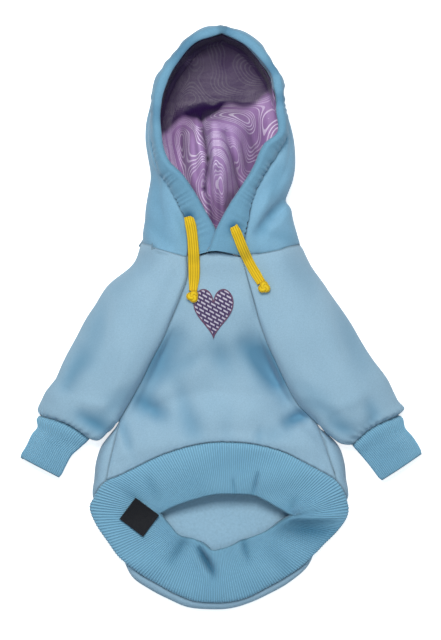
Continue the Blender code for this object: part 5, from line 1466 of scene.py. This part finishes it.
woven, tree = new_material("woven_label", 0.55, 0.1)
_, across, along = places(tree)
grain = maths(tree, "MULTIPLY", sine(tree, along, LABEL_YARN), sine(tree, across, LABEL_YARN))
finish(woven, blend(tree, grain, srgb("17171B"), srgb("26262C")), grain, 0.4, 0.0002)
band_tree = tree_of([cloth["hem_band"]])
corner = on_body(*hem_ring([0], ("edge_across", "edge_down", "edge_up")).T)[0]
middle = corner[:2] + LABEL_PLACE
ex = np.array((math.cos(LABEL_TILT), math.sin(LABEL_TILT)))
ey = np.array((-math.sin(LABEL_TILT), math.cos(LABEL_TILT)))
shares = np.linspace(-0.5, 0.5, LABEL_STEPS)
spots = np.array([middle + ex * a * LABEL_LENGTH + ey * b * LABEL_WIDTH for a in shares for b in shares])
found = np.array([top_at(band_tree, *p, otherwise=np.nan) for p in spots])
good = ~np.isnan(found)
ax, ay = (spots - middle).T
terms = np.column_stack((np.ones(len(spots)), ax, ay, ax * ax, ax * ay, ay * ay))
bend = np.linalg.lstsq(terms[good], found[good], rcond=None)[0]
lift = (found[good] - terms[good] @ bend).max() + SEAM_GAP
curl = LABEL_CURL * np.abs(2 * shares)[:, None] ** 3
high = (terms @ bend + lift).reshape(LABEL_STEPS, LABEL_STEPS) + curl + LABEL_THICK / 2
grid = np.dstack((spots.reshape(LABEL_STEPS, LABEL_STEPS, 2), high))


def thin_patch(name, grid, thick):
    """A closed thin patch centred on a grid of points, smooth shaded, with sharp edges at its rim."""
    thing = add_object(name, mesh_of(name, sheet(grid)))
    wall = thing.modifiers.new("thickness", "SOLIDIFY")
    wall.thickness, wall.offset = thick, 0
    mesh = baked(thing, name)
    mesh.set_sharp_from_angle(angle=math.radians(50))
    return mesh


mesh = thin_patch("hem_label_woven", grid[:, ::-1], LABEL_THICK)
mesh.materials.append(woven)
label = place_piece("hem_label_woven", mesh, ("hem_label",))

# The motif is a plain heart, flocked in plum with pale slanting dashes and a satin-stitched edge.
# It is bonded flat to the belly.
MOTIF_WIDTH = 0.0340
MOTIF_HEIGHT = 0.0430
MOTIF_THICK = 0.0008
MOTIF_STEPS = 25
MOTIF_EDGE = 0.008  # how far in from the rim its edge is measured
CHEST = np.array((-0.0055, -0.0560))
DASH_ROW, DASH_LENGTH = 0.0034, 0.0052
HEART_MIDDLE, HEART_SPAN = (0, -2.6), (32, 29)  # of the curve below, before it is scaled

flock, tree = new_material("flocked_print", 0.8, 0.3)
whole, across, along = places(tree, "Object")
row = maths(tree, "MULTIPLY", maths(tree, "MULTIPLY_ADD", across, 0.55, along), 1 / DASH_ROW)
start = maths(tree, "MULTIPLY", maths(tree, "FLOOR", row), 0.37)
dash = maths(tree, "MULTIPLY_ADD", across, 1 / DASH_LENGTH, start)
in_row = maths(tree, "COMPARE", maths(tree, "FRACT", row), 0.5, 0.22)
in_dash = maths(tree, "COMPARE", maths(tree, "FRACT", dash), 0.5, 0.36)
inner = blend(tree, maths(tree, "MULTIPLY", in_row, in_dash), srgb("4E3F63"), srgb("C3BCCB"))
border = maths(tree, "GREATER_THAN", attribute(tree, "edge"), 0.86)
colour = blend(tree, border, inner, srgb("6D4F66"))
finish(flock, colour, noise(tree, whole, 1400.0, 3.0), 0.5, 0.0003)
belly_tree = tree_of([cloth["belly_panel"]])
t = np.linspace(0, 2 * math.pi, 129)
up = 13 * np.cos(t) - 5 * np.cos(2 * t) - 2 * np.cos(3 * t) - np.cos(4 * t)
heart = np.column_stack((16 * np.sin(t) ** 3, up))
heart = (heart - HEART_MIDDLE) / HEART_SPAN * (MOTIF_WIDTH, MOTIF_HEIGHT)
grid = np.zeros((MOTIF_STEPS, len(t), 3))
for i, share in enumerate(np.linspace(1, 0, MOTIF_STEPS)):
    for j, p in enumerate(heart):
        x, y = CHEST + p * share
        grid[i, j] = (x, y, top_at(belly_tree, x, y) + SEAM_GAP + MOTIF_THICK / 2)
mesh = thin_patch("chest_motif_print", grid, MOTIF_THICK * 0.7)
edge = mesh.attributes.new("edge", "FLOAT", "POINT")
rim = grid[0, :, :2]
near = KDTree(len(rim))
for i, p in enumerate(rim):
    near.insert(Vector((*p, 0)), i)
near.balance()
for v, value in zip(mesh.vertices, edge.data):
    value.value = 1 - min(near.find(Vector((v.co.x, v.co.y, 0)))[2] / MOTIF_EDGE, 1)
mesh.materials.append(flock)
motif = place_piece("chest_motif_print", mesh, ("chest_motif",))
